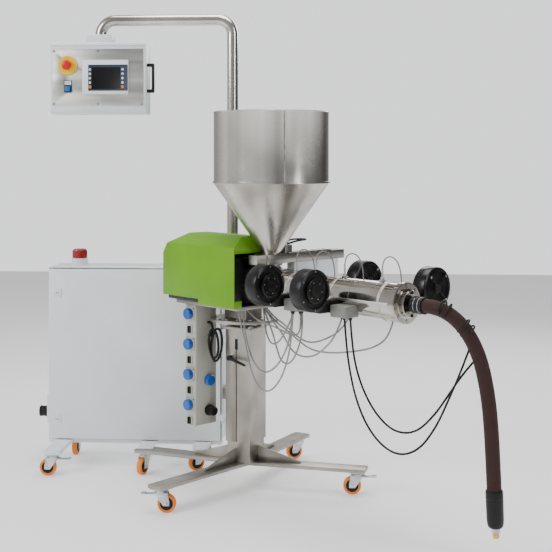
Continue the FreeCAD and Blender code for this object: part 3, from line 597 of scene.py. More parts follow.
# %% A tube along a line, as a plain mesh
def tube_along(name, spots, radius, closed, order=4, roundness=5):
    """A tube of round section along points in millimetres on the head, as a plain mesh."""
    curve = bpy.data.curves.new(name, "CURVE")
    curve.dimensions = "3D"
    line = curve.splines.new("NURBS")
    line.points.add(len(spots) - 1)
    for point, spot in zip(line.points, spots):
        point.co = (*head_point(*spot), 1)
    line.use_cyclic_u = closed
    line.order_u = order
    line.use_endpoint_u = not closed
    curve.bevel_depth = radius
    curve.bevel_resolution = roundness
    curve.use_fill_caps = not closed
    holder = bpy.data.objects.new(name, curve)
    bpy.context.scene.collection.objects.link(holder)
    mesh = bpy.data.meshes.new_from_object(holder)
    bpy.data.objects.remove(holder)
    return mesh


print("shaping helpers ready")

# %% [markdown]
# ## Bolts by Geometry Nodes
# A machine has many equal screws. One small node tree puts a bolt on every vertex of a mesh
# that holds only their places. Its named inputs set radius, height and number of sides, so the
# same tree makes hexagon bolts and round screw heads. Copying a bolt by hand would also work,
# but then changing its size means changing every copy.


# %% The bolt tree
def geometry_tree(name, inputs):
    tree = bpy.data.node_groups.new(name, "GeometryNodeTree")
    tree.interface.new_socket("Geometry", in_out="INPUT", socket_type="NodeSocketGeometry")
    for label, kind, value in inputs:
        socket = tree.interface.new_socket(label, in_out="INPUT", socket_type=kind)
        if value is not None:
            socket.default_value = value
    tree.interface.new_socket("Geometry", in_out="OUTPUT", socket_type="NodeSocketGeometry")
    return tree, tree.nodes.new("NodeGroupInput"), tree.nodes.new("NodeGroupOutput")


def close_tree(tree, geometry, start, end):
    """Real geometry and a material, because copies that are only instances get lost."""
    real = tree.nodes.new("GeometryNodeRealizeInstances")
    paint = tree.nodes.new("GeometryNodeSetMaterial")
    connect(tree,
            (geometry, real.inputs["Geometry"]),
            (real.outputs["Geometry"], paint.inputs["Geometry"]),
            (start.outputs["Material"], paint.inputs["Material"]),
            (paint.outputs["Geometry"], end.inputs["Geometry"]))


bolt_tree, start, end = geometry_tree("bolt_field", [
    ("Radius", "NodeSocketFloat", 0.005), ("Height", "NodeSocketFloat", 0.004),
    ("Sides", "NodeSocketInt", 6), ("Turn", "NodeSocketVector", (0.0, 0.0, 0.0)),
    ("Material", "NodeSocketMaterial", None)])
head_shape = bolt_tree.nodes.new("GeometryNodeMeshCylinder")
washer = bolt_tree.nodes.new("GeometryNodeMeshCylinder")
washer.inputs["Vertices"].default_value = 20
wider = bolt_tree.nodes.new("ShaderNodeMath")
wider.operation = "MULTIPLY"
wider.inputs[1].default_value = 1.5
thin = bolt_tree.nodes.new("ShaderNodeMath")
thin.operation = "MULTIPLY"
thin.inputs[1].default_value = 0.5
pair = bolt_tree.nodes.new("GeometryNodeJoinGeometry")
copies = bolt_tree.nodes.new("GeometryNodeInstanceOnPoints")
connect(bolt_tree,
        (start.outputs["Radius"], head_shape.inputs["Radius"]),
        (start.outputs["Height"], head_shape.inputs["Depth"]),
        (start.outputs["Sides"], head_shape.inputs["Vertices"]),
        (start.outputs["Radius"], wider.inputs[0]),
        (start.outputs["Height"], thin.inputs[0]),
        (wider.outputs["Value"], washer.inputs["Radius"]),
        (thin.outputs["Value"], washer.inputs["Depth"]),
        (head_shape.outputs["Mesh"], pair.inputs["Geometry"]),
        (washer.outputs["Mesh"], pair.inputs["Geometry"]),
        (start.outputs["Geometry"], copies.inputs["Points"]),
        (pair.outputs["Geometry"], copies.inputs["Instance"]),
        (start.outputs["Turn"], copies.inputs["Rotation"]))
close_tree(bolt_tree, copies.outputs["Instances"], start, end)


# %% Run a tree and keep its result as a plain mesh
def grown(name, tree, points, body, place=TO_Z, **inputs):
    seed_mesh = bpy.data.meshes.new(name)
    seed_mesh.from_pydata([tuple(p) for p in points], [], [])
    piece = bpy.data.objects.new(name, seed_mesh)
    bpy.context.scene.collection.objects.link(piece)
    modifier = piece.modifiers.new("grow", "NODES")
    modifier.node_group = tree
    for socket in tree.interface.items_tree:
        label = socket.name.replace(" ", "_")
        if socket.in_out == "INPUT" and label in inputs:
            modifier[socket.identifier] = inputs[label]
    view = bpy.context.evaluated_depsgraph_get()
    plain = bpy.data.meshes.new_from_object(piece.evaluated_get(view))
    piece.modifiers.clear()
    piece.data = plain
    plain.transform(place)
    for face in plain.polygons:
        face.use_smooth = True
    plain.set_sharp_from_angle(angle=math.radians(30))
    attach(piece, body)
    return piece


def bolts(name, spots, body, finish, radius=0.005, height=0.004, sides=6, turn=(0, 0, 0),
          place=TO_Z):
    return grown(name, bolt_tree, spots, body, place, Radius=radius, Height=height,
                 Sides=sides, Turn=turn, Material=finish)


def ring_of(count, radius, height=0.0, first=0.0):
    turns = [first + 2 * math.pi * k / count for k in range(count)]
    return [(radius * math.cos(a), radius * math.sin(a), height) for a in turns]


print("bolt tree sockets:", [s.name for s in bolt_tree.interface.items_tree])

# %% [markdown]
# ## The hopper
# The hopper is rolled stainless sheet: an open drum with a folded rim, a narrow ledge where it
# meets the cone, and the cone itself. Turning its section on a lathe gives an even wall and a
# closed mesh. The finish carries upright painted reflection bands, light and dark, and the cone is
# painted darker as shade.

# %% Hopper drum and cone
drum_radius = 0.236
drum_floor = drum_low.z
drum_rim = drum_high.z
turned("hopper_drum_sheet", "head", stainless_round, [
    (drum_radius, drum_floor), (drum_radius + 0.0045, drum_floor + 0.0005),
    (drum_radius + 0.0045, drum_floor + 0.0065), (drum_radius, drum_floor + 0.008),
    (drum_radius, drum_rim - 0.006), (drum_radius + 0.0015, drum_rim - 0.003),
    (drum_radius, drum_rim - 0.0005), (drum_radius - 0.002, drum_rim - 0.001),
    (drum_radius - 0.002, drum_floor), (drum_radius, drum_floor)], HEAD, 160, ("hopper_drum",), 40)
cone_low, cone_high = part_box("hopper_cone")
turned("hopper_cone_sheet", "head", cone_steel, [
    (0.038, cone_low.z), (0.0385, cone_low.z + 0.006), (drum_radius, cone_high.z),
    (drum_radius - 0.002, cone_high.z), (0.0365, cone_low.z + 0.006), (0.036, cone_low.z),
    (0.038, cone_low.z)], HEAD, 160, ("hopper_cone",), 40)
print("hopper rim at", round(drum_rim, 3))

# %% Hopper weld: the drum's upright seam
bm = bmesh.new()
block(bm, (-0.2362 - 0.0008, -0.0025, drum_floor + 0.009), (-0.2352, 0.0025, drum_rim - 0.007),
      0.0004, HEAD @ Matrix.Rotation(math.radians(150), 4, "Z"))
built("hopper_seam", bm, "head", stainless_flat)

# %% [markdown]
# ## The slide under the hopper
# A stainless channel carries the hopper across the machine, and its folded edges show. Small
# round screws hold the strip on top. The neck below leads down to the barrel's feed opening.

# %% Slide, feed block and side box
softened("slide_channel", stainless_flat, 0.0015)
softened("feed_block", stainless_flat, 0.002)
softened("side_box", white_paint, 0.003)
bolts("slide_screws", [head_point(-8 + 13, y, 1020) for y in (90, 150, 230, 300)], "head",
      zinc_plate, 0.004, 0.003, 16)
bm = bmesh.new()
lathed(bm, disc_profile(0.044, 0.955, 0.962, 0.002), HEAD)
lathed(bm, disc_profile(0.046, 0.970, 0.9775, 0.002), HEAD)
built("neck_flanges", bm, "head", stainless_flat)

# %% Loop handle behind the cone
HANDLE_ROUTE = [(6, 82, 1050), (30, 96, 1062), (44, 128, 1068), (36, 168, 1068),
                (10, 186, 1068), (-14, 166, 1068), (-18, 126, 1068), (-8, 98, 1062)]
finished("slide_loop_handle", tube_along("loop_handle", HANDLE_ROUTE, 0.004, True,
                                         roundness=4), "head", black_plastic)

# %% [markdown]
# ## The green cover
# Folded sheet with a chamfer at the back, a roof that leans inwards, and an open front. The
# construction already has its folds, so a bevelled copy is enough. The drive inside shows at
# the open front as a dark block.

# %% Green cover and the drive inside it
softened("gear_cover", green_paint, 0.002)
softened("gearbox", black_paint, 0.006)

# %% [markdown]
# ## The barrel
# The barrel wears a polished sheet cover. Its look depends on reflections, so it needs a very
# smooth round surface, thin seams and clamping bands rather than much colour. The front ring
# and its hub carry a circle of bolts each.

# %% Barrel cover, bands and front
AXIS_HEIGHT = 880
AXIS = HEAD @ at(0, 0, AXIS_HEIGHT)
BARREL = AXIS @ TO_X
turned("barrel_cover", "head", polished_steel, [
    (0, 0.070), (0.069, 0.070), (0.071, 0.072), (0.071, 0.286), (0.0702, 0.287), (0.0702, 0.289),
    (0.071, 0.290), (0.071, 0.496), (0.0702, 0.497), (0.0702, 0.499), (0.071, 0.500),
    (0.071, 0.699), (0.070, 0.700), (0, 0.700)], BARREL, 128, ("barrel_shell",), 25)
turned("barrel_front", "head", polished_steel, [
    (0, 0.700), (0.075, 0.700), (0.077, 0.702), (0.077, 0.723), (0.074, 0.726), (0.055, 0.726),
    (0.053, 0.7275), (0.050, 0.728), (0.050, 0.745), (0.048, 0.748), (0.036, 0.748),
    (0.034, 0.746), (0, 0.746)], BARREL, 128, ("barrel_head",), 25)
bolts("front_bolts", ring_of(8, 0.064, 0.7275), "head", zinc_plate, 0.0052, 0.005, 6,
      place=BARREL)
bolts("hub_bolts", ring_of(6, 0.042, 0.7495), "head", black_paint, 0.004, 0.004, 12,
      place=BARREL)
bm = bmesh.new()
for start_at, width in ((0.150, 0.012), (0.392, 0.012), (0.640, 0.012)):
    lathed(bm, [(0.0709, start_at), (0.0725, start_at + 0.0006),
                (0.0725, start_at + width - 0.0006), (0.0709, start_at + width),
                (0.0709, start_at)], BARREL, 96)
built("barrel_bands", bm, "head", stainless_face)
bm = bmesh.new()
block(bm, (0.075, -0.074, -0.006), (0.695, -0.0705, 0.004), 0.001, AXIS)
block(bm, (0.075, 0.0705, -0.006), (0.695, 0.074, 0.004), 0.001, AXIS)
built("barrel_seams", bm, "head", stainless_face)
print("barrel axis height:", AXIS_HEIGHT, "mm")

# %% [markdown]
# ## The hose coupling
# A dark clamp block joins the barrel to the hose. Its steps are turned on one lathed profile,
# and two light rings show in the grooves between its halves.

# %% Coupling
turned("coupling_body", "head", black_plastic, [
    (0, 0.748), (0.026, 0.748), (0.026, 0.758), (0.031, 0.760), (0.031, 0.772), (0.028, 0.7725),
    (0.028, 0.7765), (0.031, 0.777), (0.031, 0.790), (0.0285, 0.791), (0.0285, 0.797),
    (0.031, 0.798), (0.031, 0.810), (0, 0.810)], BARREL, 72, ("hose_coupling",))
bm = bmesh.new()
for start_at in (0.7725, 0.7915):
    lathed(bm, [(0.0280, start_at), (0.0295, start_at + 0.0004), (0.0295, start_at + 0.0036),
                (0.0280, start_at + 0.004), (0.0280, start_at)], BARREL, 72)
built("coupling_rings", bm, "head", zinc_plate)

# %% [markdown]
# ## Temperature probes
# Four probes stand on the barrel: a hexagon fitting, a thin bright tube and a crimped end that
# the lead comes out of.

# %% Probes
bm = bmesh.new()
for along in PROBES:
    place = HEAD @ at(along, 0, 0)
    lathed(bm, [(0, 0.948), (0.0078, 0.948), (0.0078, 0.956), (0.0072, 0.957), (0.0072, 0.9655),
                (0.004, 0.966), (0.0038, 0.990), (0.0032, 0.991), (0.0032, 0.9945),
                (0.0038, 0.995), (0.0036, 0.9985), (0, 0.999)], place, 24)
built("probe_tubes", bm, "head", stainless_face, ("sensor_probes",))
bolts("probe_nuts", [head_point(along, 0, 954) for along in PROBES], "head", zinc_plate, 0.0085,
      0.008, 6)

# %% [markdown]
# ## Cooling blowers
# Each blower is a flat drum with an outlet that leads to the barrel. Two show a motor face with
# a stepped hub, and the two behind show a wire guard. The drum is lathed with rolled rims, and
# the guard's rings come from a node tree, because they repeat by a rule.

# %% Guard tree: rings of wire around a centre
guard_tree, start, end = geometry_tree("ring_guard", [
    ("Rings", "NodeSocketInt", 9), ("Radius", "NodeSocketFloat", 0.05),
    ("Wire", "NodeSocketFloat", 0.0008), ("Material", "NodeSocketMaterial", None)])
spots = guard_tree.nodes.new("GeometryNodePoints")
index = guard_tree.nodes.new("GeometryNodeInputIndex")
after = guard_tree.nodes.new("ShaderNodeMath")
after.operation = "ADD"
after.inputs[1].default_value = 1.0
share = guard_tree.nodes.new("ShaderNodeMath")
share.operation = "DIVIDE"
reach = guard_tree.nodes.new("ShaderNodeMath")
reach.operation = "MULTIPLY"
circle = guard_tree.nodes.new("GeometryNodeCurvePrimitiveCircle")
circle.inputs["Resolution"].default_value = 48
circle.inputs["Radius"].default_value = 1.0
copies = guard_tree.nodes.new("GeometryNodeInstanceOnPoints")
real = guard_tree.nodes.new("GeometryNodeRealizeInstances")
section = guard_tree.nodes.new("GeometryNodeCurvePrimitiveCircle")
section.inputs["Resolution"].default_value = 6
tube = guard_tree.nodes.new("GeometryNodeCurveToMesh")
connect(guard_tree,
        (start.outputs["Rings"], spots.inputs["Count"]),
        (index.outputs["Index"], after.inputs[0]),
        (after.outputs["Value"], share.inputs[0]),
        (start.outputs["Rings"], share.inputs[1]),
        (share.outputs["Value"], reach.inputs[0]),
        (start.outputs["Radius"], reach.inputs[1]),
        (spots.outputs["Points"], copies.inputs["Points"]),
        (circle.outputs["Curve"], copies.inputs["Instance"]),
        (reach.outputs["Value"], copies.inputs["Scale"]),
        (copies.outputs["Instances"], real.inputs["Geometry"]),
        (start.outputs["Wire"], section.inputs["Radius"]),
        (real.outputs["Geometry"], tube.inputs["Curve"]),
        (section.outputs["Curve"], tube.inputs["Profile Curve"]))
close_tree(guard_tree, tube.outputs["Mesh"], start, end)

# %% Blower drums, outlets, hubs and guards
BLOWERS = [(150, -1), (395, -1), (300, 1), (645, 1)]
BLOWER_REACH = 200
BLOWER_HEIGHT = 918
drums = bmesh.new()
hubs = bmesh.new()
spokes = bmesh.new()
outlets = bmesh.new()
for along, side in BLOWERS:
    place = HEAD @ at(along, side * BLOWER_REACH, BLOWER_HEIGHT) @ TO_X
    lathed(drums, [(0, 0), (0.055, 0), (0.060, 0.002), (0.074, 0.002), (0.0785, 0.003),
                   (0.080, 0.006), (0.080, 0.055), (0.0785, 0.0585), (0.075, 0.0605),
                   (0.068, 0.062), (0.066, 0.060), (0.066, 0.054), (0, 0.054)], place, 96)
    low_x, high_x = along + 9, along + 53
    inner, outer = (66, 168) if side > 0 else (-168, -66)
    block(outlets, (low_x * MM, inner * MM, 0.8305), (high_x * MM, outer * MM, 0.8755), 0.002, HEAD)
    block(outlets, ((low_x - 4) * MM, (108 * side - 3) * MM, 0.828),
          ((high_x + 4) * MM, (108 * side + 3) * MM, 0.8765), 0.001, HEAD)
    if side < 0:
        lathed(hubs, [(0, 0.053), (0.046, 0.053), (0.046, 0.064), (0.042, 0.0665),
                      (0.040, 0.0665), (0.038, 0.063), (0.026, 0.063), (0.024, 0.0675),
                      (0.010, 0.0695), (0, 0.0695)], place, 64)
        bolts("rim_screws_%d" % along, ring_of(6, 0.0715, 0.0622), "head", zinc_plate, 0.0019,
              0.0012, 10, place=place)
        bolts("motor_screws_%d" % along, ring_of(6, 0.0325, 0.0635, math.radians(20)), "head",
              zinc_plate, 0.0016, 0.0012, 10, place=place)
    else:
        lathed(hubs, [(0, 0.053), (0.018, 0.053), (0.018, 0.0635), (0.016, 0.065), (0, 0.065)],
               place, 40)
        for turn in (45, 135):
            bar = place @ Matrix.Rotation(math.radians(turn), 4, "Z")
            block(spokes, (-0.068, -0.0018, 0.0612), (0.068, 0.0018, 0.0632), 0.0005, bar)
        grown("guard_%d" % along, guard_tree, [(0, 0, 0)], "head",
              place @ Matrix.Translation((0, 0, 0.0605)), Rings=11, Radius=0.065, Wire=0.0009,
              Material=black_paint)
        bolts("guard_screws_%d" % along, ring_of(4, 0.062, 0.0655, math.radians(45)), "head",
              zinc_plate, 0.0032, 0.002, 14, place=place)

# %% Finish the blowers and their terminal boxes
built("blower_drums", drums, "head", black_paint, ("blower_housings",))
built("blower_outlets", outlets, "head", black_paint)
built("blower_hubs", hubs, "head", black_paint, ("blower_motors",))
built("blower_spokes", spokes, "head", black_paint)
softened("terminal_boxes", box_grey, 0.002)
bolts("terminal_screws", [head_point(x, y, 862) for x, y in
                          ((222, -119), (276, -119), (474, -119), (528, -119), (384, 119),
                           (438, 119), (572, 119), (626, 119))], "head", zinc_plate, 0.0035,
      0.002, 14)
print("blowers:", len(BLOWERS))

# %% [markdown]
# ## The socket box
# A folded box hangs from the head's plate. Blue screw lids close its round sockets, and black
# rectangular connectors sit between them. A lid is lathed with only twelve sides, which gives
# its grip flat faces that fingers can turn.

# %% Socket box, lids and connectors
softened("socket_box", beige_paint, 0.003)
lids = bmesh.new()
flanges = bmesh.new()
connectors = bmesh.new()
frames = bmesh.new()
SOCKET_X = -393.5
SOCKET_FRONT = -108
SOCKET_TOP = 741
SOCKET_PITCH = 130
for k in range(4):
    level = SOCKET_TOP - SOCKET_PITCH * k
    place = HEAD @ at(SOCKET_X, SOCKET_FRONT, level) @ TO_FRONT
    lathed(lids, [(0, 0.0), (0.0225, 0.0), (0.0225, 0.006), (0.024, 0.007), (0.024, 0.022),
                  (0.0225, 0.0245), (0.019, 0.026), (0.017, 0.0245), (0, 0.0245)], place, 12)
    block(flanges, (-0.029, -0.029, 0), (0.029, 0.029, 0.004), 0.002, place)
    lower = place @ Matrix.Translation((0, -0.068, 0))
    block(frames, (-0.0135, -0.0195, 0), (0.0135, 0.0195, 0.004), 0.0015, lower)
    block(connectors, (-0.0068, -0.0150, 0.003), (0.0068, 0.0150, 0.0095), 0.0012, lower)
    block(connectors, (-0.0068, -0.0150, 0.009), (-0.0030, 0.0150, 0.0135), 0.0008, lower)
side_lid = HEAD @ at(-359, -38, 452) @ TO_X
lathed(lids, [(0, 0), (0.0225, 0), (0.024, 0.002), (0.024, 0.018), (0.021, 0.022), (0, 0.022)],
       side_lid, 12)
gland = HEAD @ at(-359, -36, 322) @ TO_X
lathed(connectors, [(0, 0), (0.024, 0), (0.024, 0.014), (0.0215, 0.015), (0.0215, 0.036),
                    (0.017, 0.042), (0, 0.042)], gland, 10)
built("blue_lids", lids, "head", blue_plastic, ("socket_lids",), 20)
built("socket_flanges", flanges, "head", beige_paint)
built("connector_frames", frames, "head", beige_paint)
built("black_connectors", connectors, "head", black_plastic, ("socket_frames",), 20)
corner_spots = [head_point(SOCKET_X + dx, SOCKET_FRONT - 4.5, SOCKET_TOP - SOCKET_PITCH * k + dz)
                for k in range(4) for dx in (-24, 24) for dz in (-24, 24)]
bolts("flange_screws", corner_spots, "head", zinc_plate, 0.0026, 0.002, 12,
      (math.radians(90), 0, HEAD_YAW))
edge_low, edge_high = -428, -359
bm = bmesh.new()
block(bm, ((edge_low - 0.5) * MM, -0.1085, 0.7765), ((edge_high + 0.5) * MM, 0.0075, 0.7785),
      0.0004, HEAD)
block(bm, ((edge_high - 0.2) * MM, -0.104, 0.270), ((edge_high + 1.0) * MM, 0.003, 0.772),
      0.0006, HEAD)
built("socket_box_panel", bm, "head", beige_paint)
print("sockets from", SOCKET_TOP, "mm down, every", SOCKET_PITCH, "mm")

# %% [markdown]
# ## Base plate, swivel plate and column
# Thick plates with sawn edges carry the head. The column is two square tubes, one inside the
# other, with a clamping slot. Bars and tubes keep the construction's own shape, and a bevel of
# about one millimetre breaks their edges.

# %% Plates and column
softened("head_base_plate", bar_steel, 0.0015)
softened("swivel_plate", bar_steel, 0.0015)
softened("outer_column", bar_steel, 0.0018)
softened("inner_column", bar_steel, 0.0018)
softened("stand_legs", bar_steel, 0.0018)
softened("leg_gussets", bar_steel, 0.0012)
COLUMN_YAW = math.radians(-24)
COLUMN = Matrix.Translation((column_centre.x, column_centre.y, 0)) @ Matrix.Rotation(
    COLUMN_YAW, 4, "Z")
bolts("column_top_bolts", [COLUMN @ Vector((x, y, 0.692)) for x in (-0.062, 0.062)
                           for y in (-0.072, 0.072)], "head", zinc_plate, 0.0075, 0.006, 6)
fan_bolts = [head_point(-239 + dx, 72 + dy, 726) for dx, dy in
             ((60, -96), (100, -60), (118, -14), (-30, -128), (20, -122))]
bolts("swivel_bolts", fan_bolts, "head", zinc_plate, 0.0075, 0.006, 6)
bolts("base_plate_bolts", [head_point(x, y, 802) for x, y in ((-140, -122), (-90, -122))],
      "head", zinc_plate, 0.006, 0.005, 6)
print("column axis:", [round(v, 3) for v in column_centre])

# %% Clamping lever
LEVER = COLUMN @ Matrix.Translation((-0.029, -0.100, 0.560))
bm = bmesh.new()
lathed(bm, [(0, 0.0177), (0.0095, 0.0177), (0.011, 0.016), (0.011, 0.002), (0.009, 0),
            (0.005, 0), (0.004, 0), (0, 0)], LEVER @ TO_BACK, 32)
GRIP_DROOP = math.radians(18)
DROOP = LEVER @ Matrix.Rotation(GRIP_DROOP, 4, "Y")
taper = ((-0.008, 0.0065), (0.000, 0.0088), (0.030, 0.0062), (0.078, 0.0052), (0.084, 0.0035))
rings = []
for along, half in taper:
    rings.append([bm.verts.new(DROOP @ Vector((along, 0.006 + 0.0055 * math.cos(turn),
                                               half * math.sin(turn))))
                  for turn in [2 * math.pi * k / 20 for k in range(20)]])
bm.faces.new(rings[0])
bm.faces.new(rings[-1][::-1])
for near, far in zip(rings, rings[1:]):
    for k in range(20):
        n = (k + 1) % 20
        bm.faces.new([near[n], near[k], far[k], far[n]])
bmesh.ops.recalc_face_normals(bm, faces=bm.faces)
built("clamp_lever_grip", bm, "lever", black_plastic, ("clamp_lever",), 50)
# Black strips in the column's clamping slot are painted shade of the open slot.
bm = bmesh.new()
block(bm, (-0.0138, -0.0690, 0.596), (-0.0002, -0.0660, 0.638), 0.0008, COLUMN)
block(bm, (-0.0088, -0.0690, 0.202), (-0.0052, -0.0660, 0.596), 0.0003, COLUMN)
built("clamp_slot_shade", bm, "head", black_plastic)

# %% [markdown]
# ## Conduit loop
# A stiff black conduit leaves the socket box, goes round twice beside the column and is tied
# under the plate. Two slightly different rings and one short lead-in give the loose look of a
# conduit that someone bent by hand.

# %% Rings and lead-in of the conduit
def ring_spots(middle, half_width, half_height, lean):
    """Eight points of an upright loop that faces the machine's front."""
    spots = []
    for turn in [math.radians(45 * k) for k in range(8)]:
        across = half_width * math.cos(turn) + lean * math.sin(turn)
        spots.append((middle[0] + 0.731 * across, middle[1] + 0.682 * across,
                      middle[2] + half_height * math.sin(turn)))
    return spots


CONDUIT_RADIUS = 0.0055
LEAD_IN = [(-358, -40, 700), (-345, -44, 703), (-325, -50, 700), (-312, -54, 688),
           (-306, -58, 668), (-308, -62, 645)]
for number, (middle, half_width, half_height, lean) in enumerate(
        (((-289, -50, 612), 25, 76, 5), ((-294, -62, 618), 22, 68, -4)), start=1):
    ring = tube_along("ring_%d" % number, ring_spots(middle, half_width, half_height, lean),
                      CONDUIT_RADIUS, True)
    finished("conduit_ring_%d" % number, ring, "head", black_plastic, smooth=60)
finished("conduit_lead_in", tube_along("lead_in", LEAD_IN, CONDUIT_RADIUS, False, 3), "head",
         black_plastic, smooth=60)

# %% [markdown]
# ## Casters
# A caster is a bearing head, a pressed fork and a wheel with a coloured tread on a black core.
# The free wheels turn, so each wheel's pieces ride on that wheel's own body. The tread is
# lathed with round shoulders, and the core has a groove and a bolt.

# %% Wheel sizes and outlines
WHEEL_RADIUS = 0.0375
TRAIL = 0.024
LEG_REACH = 0.490


def wheel_axle(place):
    return place @ Matrix.Translation((-TRAIL, 0, WHEEL_RADIUS)) @ TO_BACK


def tread_profile():
    r = WHEEL_RADIUS
    return [(0.026, -0.011), (r - 0.004, -0.012), (r - 0.001, -0.0098), (r, -0.007),
            (r, 0.007), (r - 0.001, 0.0098), (r - 0.004, 0.012), (0.026, 0.011), (0.026, -0.011)]


def core_profile():
    return [(0.0045, -0.0145), (0.009, -0.0145), (0.010, -0.012), (0.024, -0.0100),
            (0.0262, -0.0112), (0.0262, 0.0112), (0.024, 0.0100), (0.010, 0.012),
            (0.009, 0.0145), (0.0045, 0.0145), (0.0045, -0.0145)]


# %% Fork and brake pedal
def pressed_fork(bm, place):
    lathed(bm, [(0, 0.080), (0.021, 0.080), (0.0225, 0.082), (0.0225, 0.0865), (0.020, 0.0895),
                (0.012, 0.0925), (0, 0.0925)], place, 40)
    block(bm, (-0.030, -0.018, 0.079), (0.020, 0.018, 0.083), 0.0015, place)
    for side in (-1, 1):
        y0, y1 = sorted((side * 0.0152, side * 0.018))
        outline = [(-0.036, 0.030), (-0.012, 0.030), (0.006, 0.055), (0.020, 0.079),
                   (0.020, 0.0825), (-0.030, 0.0825), (-0.034, 0.060), (-0.037, 0.045)]
        rings = [[bm.verts.new(place @ Vector((x, y, z))) for x, z in outline]
                 for y in (y0, y1)]
        bm.faces.new(rings[0][::-1])
        bm.faces.new(rings[1])
        for k in range(len(outline)):
            n = (k + 1) % len(outline)
            bm.faces.new([rings[0][k], rings[0][n], rings[1][n], rings[1][k]])
    axle = wheel_axle(place)
    lathed(bm, [(0, -0.021), (0.0065, -0.021), (0.0065, -0.0175), (0.004, -0.0175),
                (0.004, 0.0175), (0.0065, 0.0175), (0.0065, 0.021), (0, 0.021)], axle, 6)


def brake_pedal(bm, place):
    block(bm, (0.012, -0.013, 0.0725), (0.030, 0.013, 0.0795), 0.0015, place)
    block(bm, (0.026, -0.0125, 0.0735), (0.078, 0.0125, 0.0758), 0.0008, place)
    block(bm, (0.060, -0.0125, 0.0735), (0.0798, 0.0125, 0.0785), 0.001, place)


def caster_frame(centre, turn):
    return Matrix.Translation((centre.x, centre.y, 0)) @ Matrix.Rotation(
        math.radians(turn), 4, "Z")


# %% Where the casters stand: under the leg ends and the cabinet's feet
def leg_end(turn):
    return column_centre + Vector((LEG_REACH * math.cos(math.radians(turn)),
                                   LEG_REACH * math.sin(math.radians(turn)), 0))


frame_low, frame_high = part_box("cabinet_base_frame")
right_edge = frame_high.x
left_edge = frame_low.x
back_edge = frame_high.y
CABINET_DEPTH = 0.215
SIDE_INSET = 0.088
PLATE_HALF = 0.033
front_edge = back_edge - CABINET_DEPTH
foot_left = Vector((left_edge + 0.075, front_edge - 0.225 + PLATE_HALF, 0))
foot_right = Vector((right_edge - SIDE_INSET, front_edge - 0.090 + PLATE_HALF, 0))
back_left = Vector((left_edge + SIDE_INSET, back_edge - PLATE_HALF, 0))
back_right = Vector((right_edge - SIDE_INSET, back_edge - PLATE_HALF, 0))
LOCKED = [(leg_end(232), 180), (leg_end(349), 0), (foot_left, 0), (back_left, 90),
          (back_right, 90)]
FREE = [(leg_end(65), 20), (leg_end(162), 70), (foot_right, 35)]
print("left foot", [round(v, 3) for v in foot_left])

# %% Build the casters
locked_forks = bmesh.new()
locked_treads = bmesh.new()
locked_cores = bmesh.new()
for centre, turn in LOCKED:
    place = caster_frame(centre, turn)
    pressed_fork(locked_forks, place)
    brake_pedal(locked_forks, place)
    hub = wheel_axle(place)
    lathed(locked_treads, tread_profile(), hub, 64)
    lathed(locked_cores, core_profile(), hub, 48)
built("locked_forks", locked_forks, "base", zinc_plate, ("locked_caster_forks",))
built("locked_treads", locked_treads, "base", orange_tread, ("locked_caster_wheels",))
built("locked_cores", locked_cores, "base", black_plastic)
for number, (centre, turn) in enumerate(FREE, start=1):
    place = caster_frame(centre, turn)
    hub = wheel_axle(place)
    bm = bmesh.new()
    pressed_fork(bm, place)
    built("free_fork_%d" % number, bm, "fork_%d" % number, zinc_plate,
          ("caster_fork_%d" % number,))
    bm = bmesh.new()
    lathed(bm, tread_profile(), hub, 64)
    built("free_tread_%d" % number, bm, "wheel_%d" % number, orange_tread,
          ("caster_wheel_%d" % number,))
    bm = bmesh.new()
    lathed(bm, core_profile(), hub, 48)
    built("free_core_%d" % number, bm, "wheel_%d" % number, black_plastic)
softened("caster_plates", zinc_plate, 0.001)
print("casters:", len(LOCKED), "braked,", len(FREE), "free")

# %% [markdown]
# ## The control cabinet
# A sheet-steel cabinet: the door is a shallow folded pan with rounded edges, and a thin dark
# gap runs around it. Two square inserts hold its quarter-turn locks.

# %% Cabinet shell, door and frame
softened("cabinet_shell", white_paint, 0.0015)
softened("cabinet_door", white_paint, 0.004)
softened("cabinet_base_frame", white_paint, 0.002)
lock_low, lock_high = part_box("door_locks")
plates = bmesh.new()
slot_shades = bmesh.new()
lock_x = (lock_low.x + lock_high.x) / 2
for level in (lock_low.z + 0.020, lock_high.z - 0.020):
    block(plates, (lock_x - 0.020, lock_low.y, level - 0.020),
          (lock_x + 0.020, lock_high.y, level + 0.020), 0.001)
    knob = Matrix.Translation((lock_x, lock_low.y, level)) @ TO_FRONT
    lathed(plates, [(0, -0.001), (0.012, -0.001), (0.012, 0.0), (0.0105, 0.0005), (0, 0.0005)],
           knob, 32)
    # A black bar on each lock knob is painted shade of its key slot.
    block(slot_shades, (lock_x - 0.0075, lock_low.y - 0.0008, level - 0.0012),
          (lock_x + 0.0075, lock_low.y + 0.0006, level + 0.0012), 0.0002)
built("lock_plates", plates, "door", white_paint, ("door_locks",))
built("lock_slots", slot_shades, "door", black_plastic)
softened("connector_hood", white_paint, 0.008)
plug_low, plug_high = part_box("mains_plug")
plug = Matrix.Translation((plug_high.x, (plug_low.y + plug_high.y) / 2,
                           (plug_low.z + plug_high.z) / 2)) @ TO_LEFT
turned("inlet_plug", "base", black_plastic, [
    (0, 0), (0.0245, 0), (0.026, 0.002), (0.026, 0.015), (0.024, 0.017), (0.0235, 0.031),
    (0.025, 0.033), (0.025, 0.042), (0.0235, 0.044), (0.019, 0.044), (0.018, 0.030), (0, 0.030)],
    plug, 40, ("mains_plug",))
print("locks at x", round(lock_x, 3))

# %% [markdown]
# ## The beacon
# A white cone carries a red lens whose wall has upright ribs. The lens is lathed, and each rib
# is a thin block turned about the same axis.

